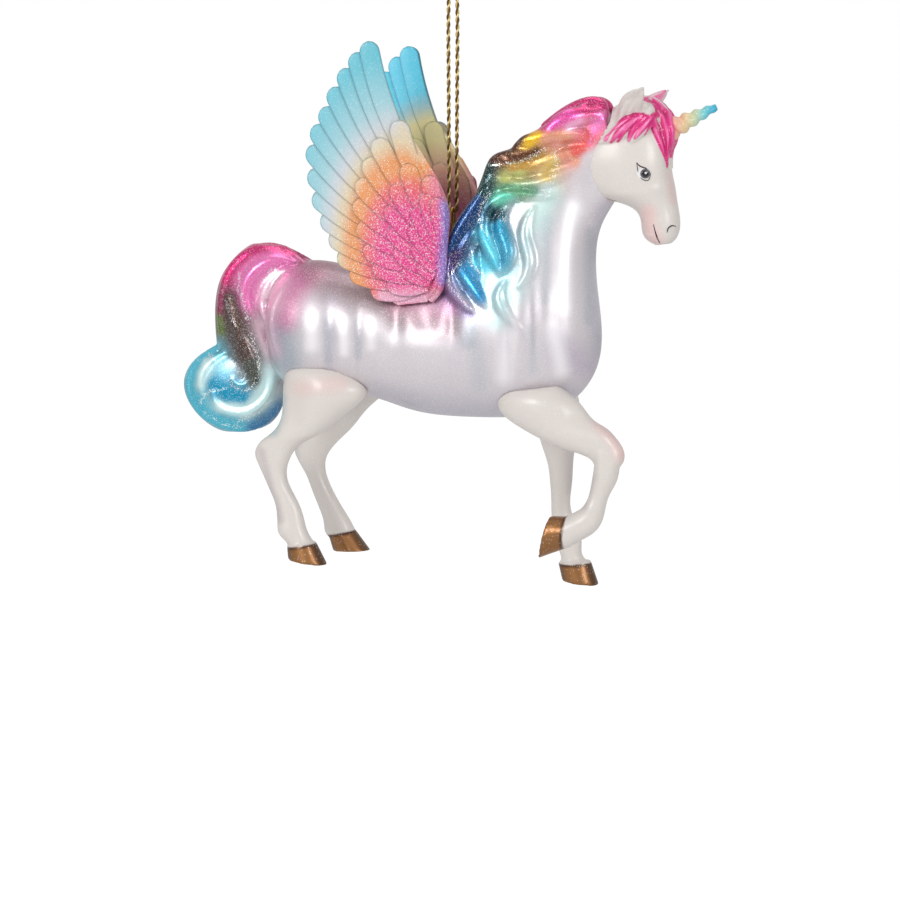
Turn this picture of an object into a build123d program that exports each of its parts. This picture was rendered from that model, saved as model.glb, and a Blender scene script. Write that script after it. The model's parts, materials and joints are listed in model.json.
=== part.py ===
from build123d import *
import os
from math import atan2, cos, pi, radians, sin, tan

# Winged unicorn ornament: a blown glass body with glued castings, a cap, a wire loop and a cord.
# Millimetres. X points forward, Y to the figure's left and Z up. The tables are shares of the named sizes.
# They are measured from the wire's eye, and the whole part is moved so that the cord's top is the origin.

os.makedirs("parts", exist_ok=True)

# Cord and knot
cord_diameter = 1.0
cord_drop = 60.0
cord_spread_top = 2.4
cord_spread_drop = 10.0
knot_diameter = 3.2
knot_height = 3.4
cord_tail_length = 6.0
cord_tail_lean = 20.0
cord_wire_clearance = 0.05

# Wire loop
wire_diameter = 0.7
eye_width = 2.0
eye_height = 3.4
wire_leg_length = 9.0
wire_foot_length = 1.4
wire_foot_reach = 0.32
wire_foot_bend = 0.8

# Cap and the glass stub under it
cap_wall = 0.35
cap_skirt = 4.0
stub_diameter = 5.0
stub_wall = 0.7
stub_rise = 5.5
stub_root = 9.0
cap_fit = 0.06
wire_hole_clearance = 0.12

# Glass body
body_length = 100.0
belly_drop = 50.0
body_width = 27.0
glass_wall = 1.1
glue_film = 0.08
mane_width = 20.0
lock_diameter = 4.2
tail_width = 13.5

# Head and horn
head_length = 25.0
head_width = 14.0
ear_thickness = 3.4
ear_scoop_depth = 0.9
forelock_diameter = 4.4
horn_length = 13.4
horn_base_diameter = 5.4
horn_tip_diameter = 1.6
horn_twist_depth = 0.42
horn_peg_diameter = 1.8
horn_peg_length = 3.0
horn_lean = 25.7
horn_fit = 0.05

# Wings
wing_length = 50.0
feather_width = 5.0
feather_thickness = 1.3
covert_width = 4.8
covert_thickness = 2.0
scapular_width = 4.6
scapular_thickness = 2.7
shingle_lean = 5.0
wing_arm_diameter = 3.6
wing_web_thickness = 2.4
wing_lean = 2.8

# Legs
leg_length = 50.0
leg_spread = 10.0
limb_width = 10.0

cut_overrun = 0.5

horn_turns = 5
horn_steps_per_turn = 6
locks_under_wing = 2
quill_share = 0.45
near_full_share = 0.995
cord_entry_share = 0.6
cord_run_share = 0.45
eye_level = -cord_drop


def ring(back, front, side, half_width):
    """An oval section on the line from back to front, which are (x, z) places. It starts at back."""
    centre = Vector((back[0] + front[0]) / 2, side, (back[1] + front[1]) / 2)
    run = Vector(back[0] - front[0], 0, back[1] - front[1])
    half_run = run.length / 2
    across = Vector(0, 1, 0)
    normal = run.cross(across).normalized()
    if half_run >= half_width:
        plane = Plane(origin=centre, x_dir=run.normalized(), z_dir=normal)
        return Wire([Edge.make_ellipse(half_run, half_width, plane)])
    plane = Plane(origin=centre, x_dir=across, z_dir=normal)
    return Wire([Edge.make_ellipse(half_width, half_run, plane, start_angle=90, end_angle=450)])


def grown(back, front, grow):
    """The same section line, longer by grow at each end."""
    run = Vector(front[0] - back[0], 0, front[1] - back[1]).normalized()
    return ((back[0] - run.X * grow, back[1] - run.Z * grow),
            (front[0] + run.X * grow, front[1] + run.Z * grow))


def skin(shares, origin, length, height, width, side=0.0, side_size=0.0, grow=0.0):
    """A smooth solid through a table of section shares, each end point and half width grown alike."""
    rings = []
    for back_x, back_z, front_x, front_z, half_share, side_share in shares:
        back = (origin[0] + back_x * length, origin[1] + back_z * height)
        front = (origin[0] + front_x * length, origin[1] + front_z * height)
        back, front = grown(back, front, grow)
        rings.append(ring(back, front, side + side_share * side_size, half_share * width + grow))
    return Solid.make_loft(rings)


def strand(places, diameters, inward):
    """A lock of hair: round sections along a run of (x, y, z) places, each starting on its inner side."""
    rings = []
    points = [Vector(*place) for place in places]
    for index, point in enumerate(points):
        before = points[max(index - 1, 0)]
        after = points[min(index + 1, len(points) - 1)]
        along = (after - before).normalized()
        start = (inward - along * inward.dot(along)).normalized()
        plane = Plane(origin=point, x_dir=start, z_dir=along)
        rings.append(Wire([Edge.make_circle(diameters[index] / 2, plane)]))
    return Solid.make_loft(rings)


def save(name, shape):
    """Write a node, moved so that the top of the cord's loop is the origin."""
    export_step(Pos(0, 0, eye_level) * shape, os.path.join("parts", name + ".step"))


# Body sections from the rump to the poll: low point, high point, half width, as shares of
# body_length, belly_drop and body_width.
body_shares = [
    (-0.462, -0.66, -0.458, -0.48, 0.148, 0),
    (-0.454, -0.76, -0.449, -0.38, 0.296, 0),
    (-0.430, -0.86, -0.425, -0.30, 0.407, 0),
    (-0.370, -0.92, -0.370, -0.26, 0.474, 0),
    (-0.270, -0.91, -0.290, -0.272, 0.489, 0),
    (-0.180, -0.93, -0.200, -0.30, 0.474, 0),
    (-0.080, -0.984, -0.110, -0.304, 0.481, 0),
    (0.050, -1.000, -0.045, -0.286, 0.496, 0),
    (0.170, -0.990, -0.005, -0.25, 0.504, 0),
    (0.275, -0.936, 0.022, -0.19, 0.504, 0),
    (0.346, -0.79, 0.042, -0.10, 0.481, 0),
    (0.354, -0.36, 0.100, 0.17, 0.378, 0),
    (0.352, -0.18, 0.155, 0.28, 0.330, 0),
    (0.368, -0.06, 0.222, 0.39, 0.285, 0),
    (0.398, 0.04, 0.295, 0.490, 0.250, 0),
    (0.430, 0.14, 0.370, 0.510, 0.215, 0),
]

# Locks of the mane, each from the crest down the side of the neck: x and z as shares of body_length and
# belly_drop, y of mane_width and the thickness of lock_diameter.
lock_shares = [
    [(0.345, 0.16, 0.46, 0.5), (0.305, 0.27, 0.39, 0.9), (0.265, 0.31, 0.28, 1.0), (0.235, 0.33, 0.14, 0.9),
     (0.222, 0.36, 0.02, 0.3)],
    [(0.340, 0.20, 0.48, 0.5), (0.255, 0.34, 0.36, 0.9), (0.185, 0.37, 0.24, 1.0), (0.148, 0.40, 0.12, 0.9),
     (0.140, 0.42, 0.00, 0.3)],
    [(0.270, 0.24, 0.40, 0.5), (0.185, 0.36, 0.25, 0.9), (0.120, 0.39, 0.12, 1.1), (0.098, 0.43, -0.02, 1.0),
     (0.122, 0.47, -0.14, 0.3)],
    [(0.200, 0.26, 0.27, 0.5), (0.130, 0.38, 0.12, 0.9), (0.086, 0.43, -0.04, 1.1), (0.072, 0.48, -0.20, 1.0),
     (0.114, 0.55, -0.34, 0.3)],
    [(0.140, 0.26, 0.16, 0.5), (0.084, 0.40, 0.00, 0.9), (0.042, 0.46, -0.16, 1.1), (0.026, 0.50, -0.32, 1.0),
     (0.078, 0.58, -0.46, 0.3)],
]

# The tail from the dock down into the curl, then the curl from the tail's waist down to its foot: outer
# point, inner point and half width of tail_width.
tail_shares = [
    (-0.510, -0.180, -0.430, -0.190, 0.22, 0),
    (-0.550, -0.225, -0.400, -0.235, 0.38, 0),
    (-0.586, -0.30, -0.390, -0.30, 0.46, 0),
    (-0.610, -0.40, -0.410, -0.40, 0.49, 0),
    (-0.617, -0.50, -0.420, -0.50, 0.50, 0),
    (-0.617, -0.60, -0.430, -0.60, 0.48, 0),
    (-0.612, -0.72, -0.440, -0.72, 0.45, 0),
    (-0.598, -0.84, -0.470, -0.84, 0.36, 0),
]
curl_shares = [
    (-0.622, -0.700, -0.480, -0.700, 0.30, 0),
    (-0.672, -0.755, -0.440, -0.760, 0.44, 0),
    (-0.704, -0.850, -0.436, -0.860, 0.50, 0),
    (-0.697, -0.960, -0.444, -0.970, 0.50, 0),
    (-0.655, -1.062, -0.472, -1.060, 0.40, 0),
    (-0.598, -1.118, -0.525, -1.112, 0.20, 0),
]

# Head sections from the crown to the lips, measured from the poll: jaw side, face side, half width.
poll_share = (0.38, 0.32)
head_shares = [
    (0.140, 0.344, 0.368, 0.360, 0.186, 0),
    (-0.060, 0.260, 0.456, 0.288, 0.357, 0),
    (-0.200, 0.020, 0.544, 0.128, 0.480, 0),
    (-0.250, -0.190, 0.612, -0.040, 0.530, 0),
    (-0.220, -0.360, 0.636, -0.220, 0.534, 0),
    (-0.080, -0.510, 0.644, -0.376, 0.480, 0),
    (0.200, -0.604, 0.656, -0.504, 0.364, 0),
    (0.316, -0.712, 0.676, -0.632, 0.293, 0),
    (0.336, -0.832, 0.692, -0.752, 0.293, 0),
    (0.384, -0.920, 0.676, -0.864, 0.257, 0),
    (0.472, -0.968, 0.600, -0.952, 0.157, 0),
]
# The ear from its tip to its base, with its place across the head as a share of head_width.
ear_shares = [
    (0.362, 0.470, 0.404, 0.484, 0.08, 0.50),
    (0.215, 0.420, 0.395, 0.425, 0.28, 0.44),
    (0.105, 0.290, 0.370, 0.305, 0.42, 0.36),
    (0.056, 0.120, 0.344, 0.140, 0.50, 0.27),
]
ear_scoop_shares = [
    (0.362, 0.452, 0.388, 0.458, 0.06, 0.49),
    (0.250, 0.400, 0.372, 0.405, 0.20, 0.43),
    (0.160, 0.290, 0.338, 0.305, 0.32, 0.36),
    (0.125, 0.180, 0.310, 0.190, 0.34, 0.30),
]
# Locks of the forelock: x and z as shares of head_length, y of head_width, thickness of forelock_diameter.
front_lock_shares = [(0.30, 0.00, 0.36, 0.7), (0.47, 0.02, 0.26, 1.0), (0.58, 0.05, 0.06, 1.0),
                     (0.640, 0.08, -0.12, 0.8), (0.648, 0.10, -0.26, 0.2)]
side_lock_shares = [(0.36, 0.16, 0.32, 0.7), (0.33, 0.38, 0.20, 0.8), (0.22, 0.48, 0.09, 0.8),
                    (0.10, 0.50, 0.02, 0.5), (0.02, 0.49, -0.02, 0.15)]
temple_lock_shares = [(0.40, 0.16, 0.30, 0.7), (0.40, 0.36, 0.18, 0.8), (0.33, 0.45, 0.06, 0.7),
                      (0.26, 0.49, -0.03, 0.15)]
horn_place_share = (0.528, 0.068)

# Feather tips from the front of the wing to its root, measured from the wing's root, and the two ends of
# the line that the quills start on, all as shares of wing_length.
wing_place_share = (0.0, -0.40)
wing_side_share = 0.43
flight_tip_shares = [(-0.318, 1.168), (-0.374, 1.124), (-0.434, 1.046), (-0.490, 0.958), (-0.536, 0.872),
                     (-0.580, 0.780), (-0.606, 0.682), (-0.604, 0.576), (-0.586, 0.468), (-0.548, 0.366),
                     (-0.506, 0.274), (-0.462, 0.186), (-0.396, 0.108), (-0.300, 0.040)]
flight_root_shares = ((0.035, 0.44), (-0.04, 0.03))
covert_tip_shares = [(-0.186, 0.81), (-0.284, 0.716), (-0.332, 0.622), (-0.374, 0.530), (-0.384, 0.432),
                     (-0.366, 0.326), (-0.326, 0.216), (-0.256, 0.110)]
covert_root_shares = ((0.03, 0.42), (-0.02, 0.03))
scapular_tip_shares = [(-0.052, 0.64), (-0.134, 0.600), (-0.190, 0.512), (-0.220, 0.410), (-0.212, 0.300),
                       (-0.176, 0.180)]
scapular_root_shares = ((0.03, 0.36), (0.0, 0.04))
# The wing's leading edge from the root up, with its thickness as a share of wing_arm_diameter, and the
# back line of the web behind it, from the top down, both as shares of wing_length.
arm_shares = [(0.040, -0.030, 0.80), (0.016, 0.116, 1.00), (0.016, 0.240, 1.00), (0.044, 0.360, 1.00),
              (0.034, 0.440, 0.92), (0.004, 0.530, 0.86), (-0.048, 0.610, 0.76), (-0.108, 0.705, 0.60),
              (-0.178, 0.800, 0.40)]
web_shares = [(-0.190, 0.720), (-0.130, 0.590), (-0.080, 0.500), (-0.060, 0.400), (-0.070, 0.300),
              (-0.130, 0.180), (-0.200, 0.060), (-0.230, -0.040), (-0.200, -0.060)]

# Legs: back point, front point, half width of limb_width and place across of leg_spread, from the hip or
# the shoulder down to the coronet, all as shares of leg_length. Then the hoof, from coronet to sole.
hip_share = (-0.30, -0.80)
shoulder_share = (0.24, -0.80)
right_hind_shares = [
    (-0.140, 0.030, 0.120, 0.030, 0.28, 0.80),
    (-0.204, -0.020, 0.190, -0.030, 0.54, 0.81),
    (-0.210, -0.075, 0.214, -0.085, 0.56, 0.83),
    (-0.210, -0.160, 0.130, -0.175, 0.49, 0.88),
    (-0.236, -0.260, 0.014, -0.270, 0.40, 0.94),
    (-0.312, -0.332, -0.088, -0.328, 0.32, 0.99),
    (-0.348, -0.404, -0.164, -0.404, 0.28, 1.01),
    (-0.312, -0.488, -0.188, -0.492, 0.25, 1.01),
    (-0.268, -0.584, -0.154, -0.584, 0.22, 1.01),
    (-0.240, -0.684, -0.106, -0.684, 0.23, 1.01),
    (-0.224, -0.772, -0.084, -0.764, 0.26, 1.01),
    (-0.180, -0.836, -0.052, -0.816, 0.25, 1.01),
    (-0.174, -0.868, -0.036, -0.852, 0.27, 1.01),
]
right_hind_hoof_shares = [
    (-0.184, -0.846, -0.040, -0.818, 0.31, 1.01),
    (-0.178, -0.908, 0.020, -0.932, 0.37, 1.01),
]
left_hind_shares = [
    (-0.140, 0.030, 0.120, 0.030, 0.28, 0.80),
    (-0.204, -0.020, 0.190, -0.030, 0.54, 0.81),
    (-0.206, -0.090, 0.196, -0.105, 0.55, 0.83),
    (-0.208, -0.180, 0.100, -0.196, 0.48, 0.88),
    (-0.248, -0.292, 0.008, -0.300, 0.40, 0.94),
    (-0.296, -0.380, -0.072, -0.376, 0.32, 0.98),
    (-0.300, -0.448, -0.130, -0.448, 0.28, 1.00),
    (-0.248, -0.536, -0.138, -0.536, 0.24, 1.00),
    (-0.212, -0.620, -0.104, -0.620, 0.22, 1.00),
    (-0.170, -0.720, -0.044, -0.720, 0.23, 1.00),
    (-0.146, -0.800, 0.002, -0.792, 0.26, 1.00),
    (-0.116, -0.862, 0.022, -0.850, 0.27, 1.00),
]
left_hind_hoof_shares = [
    (-0.120, -0.852, 0.020, -0.824, 0.31, 1.00),
    (-0.096, -0.928, 0.096, -0.920, 0.37, 1.00),
]
right_fore_shares = [
    (-0.150, -0.050, 0.080, -0.020, 0.28, 0.80),
    (-0.198, -0.085, 0.140, -0.050, 0.45, 0.82),
    (-0.180, -0.155, 0.205, -0.105, 0.48, 0.86),
    (-0.070, -0.228, 0.252, -0.158, 0.42, 0.92),
    (0.072, -0.292, 0.316, -0.204, 0.36, 0.98),
    (0.180, -0.324, 0.376, -0.248, 0.30, 1.00),
    (0.258, -0.354, 0.418, -0.308, 0.28, 1.01),
    (0.280, -0.404, 0.398, -0.388, 0.25, 1.01),
]
# The raised leg from the knee round the bent fetlock: x, z and place across as in the tables, and
# thickness as a share of limb_width.
right_fore_bend_shares = [(0.300, -0.300, 1.00, 0.52), (0.334, -0.346, 1.01, 0.60), (0.337, -0.400, 1.01, 0.60),
                          (0.312, -0.490, 1.01, 0.50), (0.285, -0.578, 1.01, 0.49), (0.262, -0.626, 1.01, 0.60),
                          (0.222, -0.662, 1.01, 0.66), (0.176, -0.688, 1.01, 0.67), (0.100, -0.708, 1.01, 0.67)]
right_fore_hoof_shares = [
    (0.150, -0.630, 0.138, -0.784, 0.33, 1.01),
    (0.066, -0.632, 0.018, -0.832, 0.37, 1.01),
]
left_fore_shares = [
    (-0.150, -0.030, 0.060, -0.020, 0.28, 0.74),
    (-0.170, -0.110, 0.090, -0.080, 0.44, 0.78),
    (-0.125, -0.190, 0.110, -0.160, 0.44, 0.80),
    (-0.096, -0.280, 0.106, -0.250, 0.38, 0.80),
    (-0.060, -0.390, 0.084, -0.380, 0.30, 0.80),
    (-0.036, -0.500, 0.076, -0.500, 0.26, 0.80),
    (-0.028, -0.610, 0.066, -0.610, 0.22, 0.80),
    (-0.024, -0.710, 0.088, -0.706, 0.23, 0.80),
    (-0.008, -0.790, 0.120, -0.780, 0.27, 0.80),
    (0.016, -0.860, 0.124, -0.840, 0.25, 0.80),
    (0.016, -0.926, 0.164, -0.910, 0.28, 0.80),
]
left_fore_hoof_shares = [
    (0.010, -0.916, 0.170, -0.900, 0.31, 0.80),
    (0.032, -1.004, 0.212, -1.020, 0.37, 0.80),
]

stub_radius = stub_diameter / 2
cap_inner_radius = stub_radius + cap_fit
cap_outer_radius = cap_inner_radius + cap_wall
wire_radius = wire_diameter / 2
eye_half = eye_width / 2
cap_top = -eye_height
stub_top = cap_top - cap_wall


def body_form(shares, width, grow=0.0):
    """One of the smooth forms that make up the glass."""
    return skin(shares, (0, 0), body_length, belly_drop, width, grow=grow)


def make_glass_body():
    """The blown shell: trunk and neck, tail, curl and the mane's locks, hollow, with the open stub."""
    outer = body_form(body_shares, body_width)
    outer = outer.fuse(body_form(tail_shares, tail_width))
    outer = outer.fuse(body_form(curl_shares, tail_width))
    for side in (-1, 1):
        for shares in lock_shares:
            outer = outer.fuse(hair_lock(shares, side, body_length, mane_width, belly_drop, lock_diameter))
    stub_length = stub_rise + stub_root
    stub = Pos(0, 0, stub_top) * Cylinder(stub_radius, stub_length, align=(Align.CENTER, Align.CENTER, Align.MAX))
    bore = Pos(0, 0, stub_top) * Cylinder(stub_radius - stub_wall, stub_length + cut_overrun,
                                          align=(Align.CENTER, Align.CENTER, Align.MAX))
    outer = outer.fuse(stub.solid())
    hollow = outer.cut(body_form(body_shares[1:-1], body_width, -glass_wall))
    hollow = hollow.cut(body_form(tail_shares[1:-1], tail_width, -glass_wall))
    hollow = hollow.cut(body_form(curl_shares[1:-1], tail_width, -glass_wall))
    return hollow.cut(bore.solid())


def hair_lock(shares, side, length, width, height, diameter, origin=(0, 0), grow=0.0):
    """A lock from a table of (x, y, z, thickness) shares, on the side given by its sign."""
    places = []
    diameters = []
    for x, y, z, thick in shares:
        places.append((origin[0] + x * length, side * y * width, origin[1] + z * height))
        diameters.append(thick * diameter + 2 * grow)
    return strand(places, diameters, Vector(0, -side, 0))


def glue_tool():
    """The glass's trunk and neck, larger by the film of glue, to seat the castings on."""
    return body_form(body_shares, body_width, glue_film)


def poll_place():
    return (poll_share[0] * body_length, poll_share[1] * belly_drop)


def horn_plane(back=0.0):
    """The plane of the horn's base, its normal along the horn, moved back into the head."""
    poll = poll_place()
    lean = radians(horn_lean)
    x = poll[0] + horn_place_share[0] * head_length - back * cos(lean)
    z = poll[1] + horn_place_share[1] * head_length - back * sin(lean)
    return Plane(origin=(x, 0, z), x_dir=(0, 1, 0), z_dir=(cos(lean), 0, sin(lean)))


def make_head(glass):
    """The head with ears and forelock, hollowed to sit over the neck, with the horn's socket."""
    poll = poll_place()
    head = skin(head_shares, poll, head_length, head_length, head_width)
    for side in (-1, 1):
        ear = skin(ear_shares, poll, head_length, head_length, ear_thickness, side_size=side * head_width)
        scoop = skin(ear_scoop_shares, poll, head_length, head_length, ear_thickness,
                     side=-side * ear_scoop_depth, side_size=side * head_width)
        head = head.fuse(ear.cut(scoop))
        for shares in (front_lock_shares, side_lock_shares, temple_lock_shares):
            head = head.fuse(hair_lock(shares, side, head_length, head_width, head_length,
                                       forelock_diameter, poll))
    head = head.cut(glass)
    base = horn_plane(0)
    socket = base * Cylinder(horn_base_diameter / 2 + horn_fit, horn_length,
                             align=(Align.CENTER, Align.CENTER, Align.MIN))
    peg_hole = horn_plane(horn_peg_length + horn_fit) * Cylinder(
        horn_peg_diameter / 2 + horn_fit, horn_length, align=(Align.CENTER, Align.CENTER, Align.MIN))
    return head.cut(socket.solid()).cut(peg_hole.solid())


def make_horn():
    """A tapering horn whose round section winds round the axis, with the peg that holds it."""
    steps = horn_turns * horn_steps_per_turn
    base = horn_plane(-horn_fit)
    rings = []
    for step in range(steps + 1):
        share = step / steps
        turn = 2 * pi * horn_turns * share
        radius = (horn_base_diameter + (horn_tip_diameter - horn_base_diameter) * share) / 2
        throw = horn_twist_depth * radius / (horn_base_diameter / 2)
        place = base.from_local_coords(Vector(throw * cos(turn), throw * sin(turn), horn_length * share))
        plane = Plane(origin=place, x_dir=base.x_dir, z_dir=base.z_dir)
        rings.append(Wire([Edge.make_circle(radius - throw, plane)]))
    twist = Solid.make_loft(rings)
    peg = horn_plane(horn_peg_length) * Cylinder(horn_peg_diameter / 2, horn_peg_length + horn_twist_depth,
                                                 align=(Align.CENTER, Align.CENTER, Align.MIN))
    return twist.fuse(peg.solid())


def feather(root, tip, width, thickness):
    """A flat blade from root to a round tip, narrower at its root, one edge tipped outwards."""
    run = Vector(tip[0] - root[0], 0, tip[1] - root[1])
    along = run.normalized()
    outward = Vector(0, -1, 0)
    lean = radians(shingle_lean)
    normal = outward * cos(lean) + along.cross(outward) * sin(lean)
    half = width / 2
    straight = run.length - half
    plane = Plane(origin=(root[0], 0, root[1]), x_dir=along, z_dir=normal)
    with BuildSketch() as outline:
        with BuildLine():
            Polyline((straight, -half), (0, -half * quill_share), (0, half * quill_share), (straight, half))
            ThreePointArc((straight, half), (run.length, 0), (straight, -half))
        make_face()
    blade = extrude(outline.sketch, amount=thickness / 2, both=True)
    return (plane * blade).solid()


def feather_row(tips, roots, width, thickness):
    """Feathers to each tip, their roots spread evenly between two places, all shares of wing_length."""
    row = []
    last = len(tips) - 1
    for index, tip in enumerate(tips):
        share = index / last
        root_x = roots[0][0] + (roots[1][0] - roots[0][0]) * share
        root_z = roots[0][1] + (roots[1][1] - roots[0][1]) * share
        root = (root_x * wing_length, root_z * wing_length)
        row.append(feather(root, (tip[0] * wing_length, tip[1] * wing_length), width, thickness))
    return row


def wing_arm():
    """The rounded leading edge, and the flat web that joins the feathers' roots to it."""
    places = [(x * wing_length, 0, z * wing_length) for x, z, thick in arm_shares]
    edge = strand(places, [thick * wing_arm_diameter for x, z, thick in arm_shares], Vector(0, 1, 0))
    front = [(x * wing_length, z * wing_length) for x, z, thick in arm_shares]
    back = [(x * wing_length, z * wing_length) for x, z in web_shares]
    with BuildSketch(Plane.XZ) as outline:
        with BuildLine():
            Polyline(*front, *back, close=True)
        make_face()
    return edge.fuse(extrude(outline.sketch, amount=wing_web_thickness / 2, both=True).solid())


def make_right_wing(glass):
    """The wing's three rows of feathers on its leading edge, leaned out and seated on the flank."""
    arm = wing_arm()
    feathers = feather_row(flight_tip_shares, flight_root_shares, feather_width, feather_thickness)
    feathers += feather_row(covert_tip_shares, covert_root_shares, covert_width, covert_thickness)
    feathers += feather_row(scapular_tip_shares, scapular_root_shares, scapular_width, scapular_thickness)
    wing = arm.fuse(*feathers)
    place = Pos(wing_place_share[0] * body_length, -wing_side_share * body_width, wing_place_share[1] * belly_drop)
    seated = (place * Rot(wing_lean, 0, 0) * wing).solid().cut(glass)
    for shares in lock_shares[-locks_under_wing:]:
        seated = seated.cut(hair_lock(shares, -1, body_length, mane_width, belly_drop, lock_diameter,
                                      grow=glue_film))
    return seated


def make_leg(shares, hoof_shares, joint_share, side, glass, bend_shares=()):
    """A leg and its hoof, the raised one with a round bent shank, cut to seat on the glass."""
    joint = (joint_share[0] * body_length, joint_share[1] * belly_drop)
    limb = skin(shares, joint, leg_length, leg_length, limb_width, side_size=side * leg_spread)
    hoof = skin(hoof_shares, joint, leg_length, leg_length, limb_width, side_size=side * leg_spread)
    limb = limb.fuse(hoof)
    if bend_shares:
        places = [(joint[0] + x * leg_length, side * across * leg_spread, joint[1] + z * leg_length)
                  for x, z, across, thick in bend_shares]
        diameters = [thick * limb_width for x, z, across, thick in bend_shares]
        limb = limb.fuse(strand(places, diameters, Vector(0, -side, 0)))
    return limb.cut(glass)


def make_cap():
    """A thin cup over the stub, with two holes for the wire's legs."""
    outside = Pos(0, 0, cap_top) * Cylinder(cap_outer_radius, cap_wall + cap_skirt,
                                            align=(Align.CENTER, Align.CENTER, Align.MAX))
    inside = Pos(0, 0, stub_top + cap_fit) * Cylinder(cap_inner_radius, cap_skirt + cut_overrun,
                                                      align=(Align.CENTER, Align.CENTER, Align.MAX))
    cup = outside - inside
    for side in (-1, 1):
        hole = Pos(0, side * eye_half, cap_top + cut_overrun) * Cylinder(
            wire_radius + wire_hole_clearance, cap_wall + 2 * cut_overrun,
            align=(Align.CENTER, Align.CENTER, Align.MAX))
        cup = cup - hole
    return cup.solid()


def make_wire_loop():
    """Round wire: a foot, a leg, the eye's half circle, the other leg and foot, across the figure."""
    leg_end = cap_top - wire_leg_length
    foot_end = leg_end - wire_foot_length
    foot = eye_half + wire_foot_reach
    path = FilletPolyline((0, foot, foot_end), (0, eye_half, leg_end), (0, eye_half, 0), (0, -eye_half, 0),
                          (0, -eye_half, leg_end), (0, -foot, foot_end),
                          radius=[wire_foot_bend, eye_half * near_full_share, eye_half * near_full_share,
                                  wire_foot_bend])
    return sweep(Plane(origin=path @ 0, z_dir=path % 0) * Circle(wire_radius), path).solid()


def make_cord():
    """The doubled cord, from the knot down round the wire's eye and up again."""
    cord_radius = cord_diameter / 2
    bend = wire_radius + cord_wire_clearance + cord_radius
    bottom = -bend
    spread = cord_spread_top / 2
    entry = cord_diameter * cord_entry_share
    spread_height = cord_drop - cord_spread_drop
    points = [(-entry, cord_drop), (-spread, spread_height), (-bend, bottom), (bend, bottom),
              (spread, spread_height), (entry, cord_drop)]
    shorter = cord_spread_drop
    turn = atan2(spread - entry, cord_spread_drop) + atan2(spread - bend, spread_height - bottom)
    wide = cord_run_share * shorter / tan(turn / 2)
    tight = bend * near_full_share
    path = FilletPolyline(*[(x, 0, z) for x, z in points], radius=[wide, tight, tight, wide])
    tube = sweep(Plane(origin=path @ 0, z_dir=path % 0) * Circle(cord_radius), path).solid()
    print("cord radii", round(wide, 2), round(tight, 2), "length", round(path.length, 2),
          "volume", round(tube.volume, 2), "section by length", round(pi * cord_radius ** 2 * path.length, 2))
    return tube


def make_knot():
    """A round knot with the cord's two cut ends standing out of its top."""
    middle = cord_drop + knot_height / 2
    waist = knot_diameter / 2
    neck = cord_diameter
    with BuildSketch(Plane.XZ) as profile:
        with BuildLine():
            Polyline((neck, cord_drop + knot_height), (0, cord_drop + knot_height), (0, cord_drop), (neck, cord_drop))
            ThreePointArc((neck, cord_drop), (waist, middle), (neck, cord_drop + knot_height))
        make_face()
    knot = revolve(profile.sketch, Axis.Z).solid()
    for side in (-1, 1):
        end = Pos(side * cord_diameter / 2, 0, middle) * Rot(0, side * cord_tail_lean, 0) * Cylinder(
            cord_diameter / 2, knot_height / 2 + cord_tail_length, align=(Align.CENTER, Align.CENTER, Align.MIN))
        knot = knot.fuse(end.solid())
    return knot


glass_tool = glue_tool()
save("glass_body", make_glass_body())
save("head", make_head(glass_tool))
save("horn", make_horn())
right_wing = make_right_wing(glass_tool)
save("right_wing", right_wing)
save("left_wing", mirror(right_wing, about=Plane.XZ))
save("right_hind_leg", make_leg(right_hind_shares, right_hind_hoof_shares, hip_share, -1, glass_tool))
save("left_hind_leg", make_leg(left_hind_shares, left_hind_hoof_shares, hip_share, 1, glass_tool))
save("right_fore_leg", make_leg(right_fore_shares, right_fore_hoof_shares, shoulder_share, -1, glass_tool,
                                right_fore_bend_shares))
save("left_fore_leg", make_leg(left_fore_shares, left_fore_hoof_shares, shoulder_share, 1, glass_tool))
save("hanger_cap", make_cap())
save("wire_loop", make_wire_loop())
save("hanging_cord", make_cord())
save("cord_knot", make_knot())
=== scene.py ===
import json
import math
import bpy
import bmesh
import numpy as np
from mathutils import Euler, Matrix, Vector
from mathutils.bvhtree import BVHTree


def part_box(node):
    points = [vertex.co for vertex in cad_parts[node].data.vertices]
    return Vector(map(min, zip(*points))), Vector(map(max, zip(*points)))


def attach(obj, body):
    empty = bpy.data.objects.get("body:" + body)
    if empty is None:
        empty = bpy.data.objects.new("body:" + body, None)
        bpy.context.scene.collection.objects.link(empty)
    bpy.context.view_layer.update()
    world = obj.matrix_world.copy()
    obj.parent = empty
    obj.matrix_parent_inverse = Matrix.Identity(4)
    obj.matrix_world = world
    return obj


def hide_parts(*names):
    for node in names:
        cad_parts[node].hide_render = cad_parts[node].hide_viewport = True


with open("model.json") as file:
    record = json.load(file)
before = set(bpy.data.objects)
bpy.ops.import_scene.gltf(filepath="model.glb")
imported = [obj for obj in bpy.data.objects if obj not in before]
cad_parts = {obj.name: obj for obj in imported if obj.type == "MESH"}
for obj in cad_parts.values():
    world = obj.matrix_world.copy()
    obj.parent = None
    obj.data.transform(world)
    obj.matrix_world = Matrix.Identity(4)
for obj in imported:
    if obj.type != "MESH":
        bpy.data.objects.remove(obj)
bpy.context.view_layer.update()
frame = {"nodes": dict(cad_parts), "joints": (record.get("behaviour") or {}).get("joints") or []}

# Winged unicorn ornament: blown glass, cast head, horn, wings and legs, on a doubled gold cord.
# Metres. The figure's right flank faces the camera, on the -Y side, and the left side mirrors it.
mm = 0.001
joints = {joint["name"]: joint for joint in frame["joints"]}
eye = Vector(joints["swing"]["pos_m"])

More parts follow.
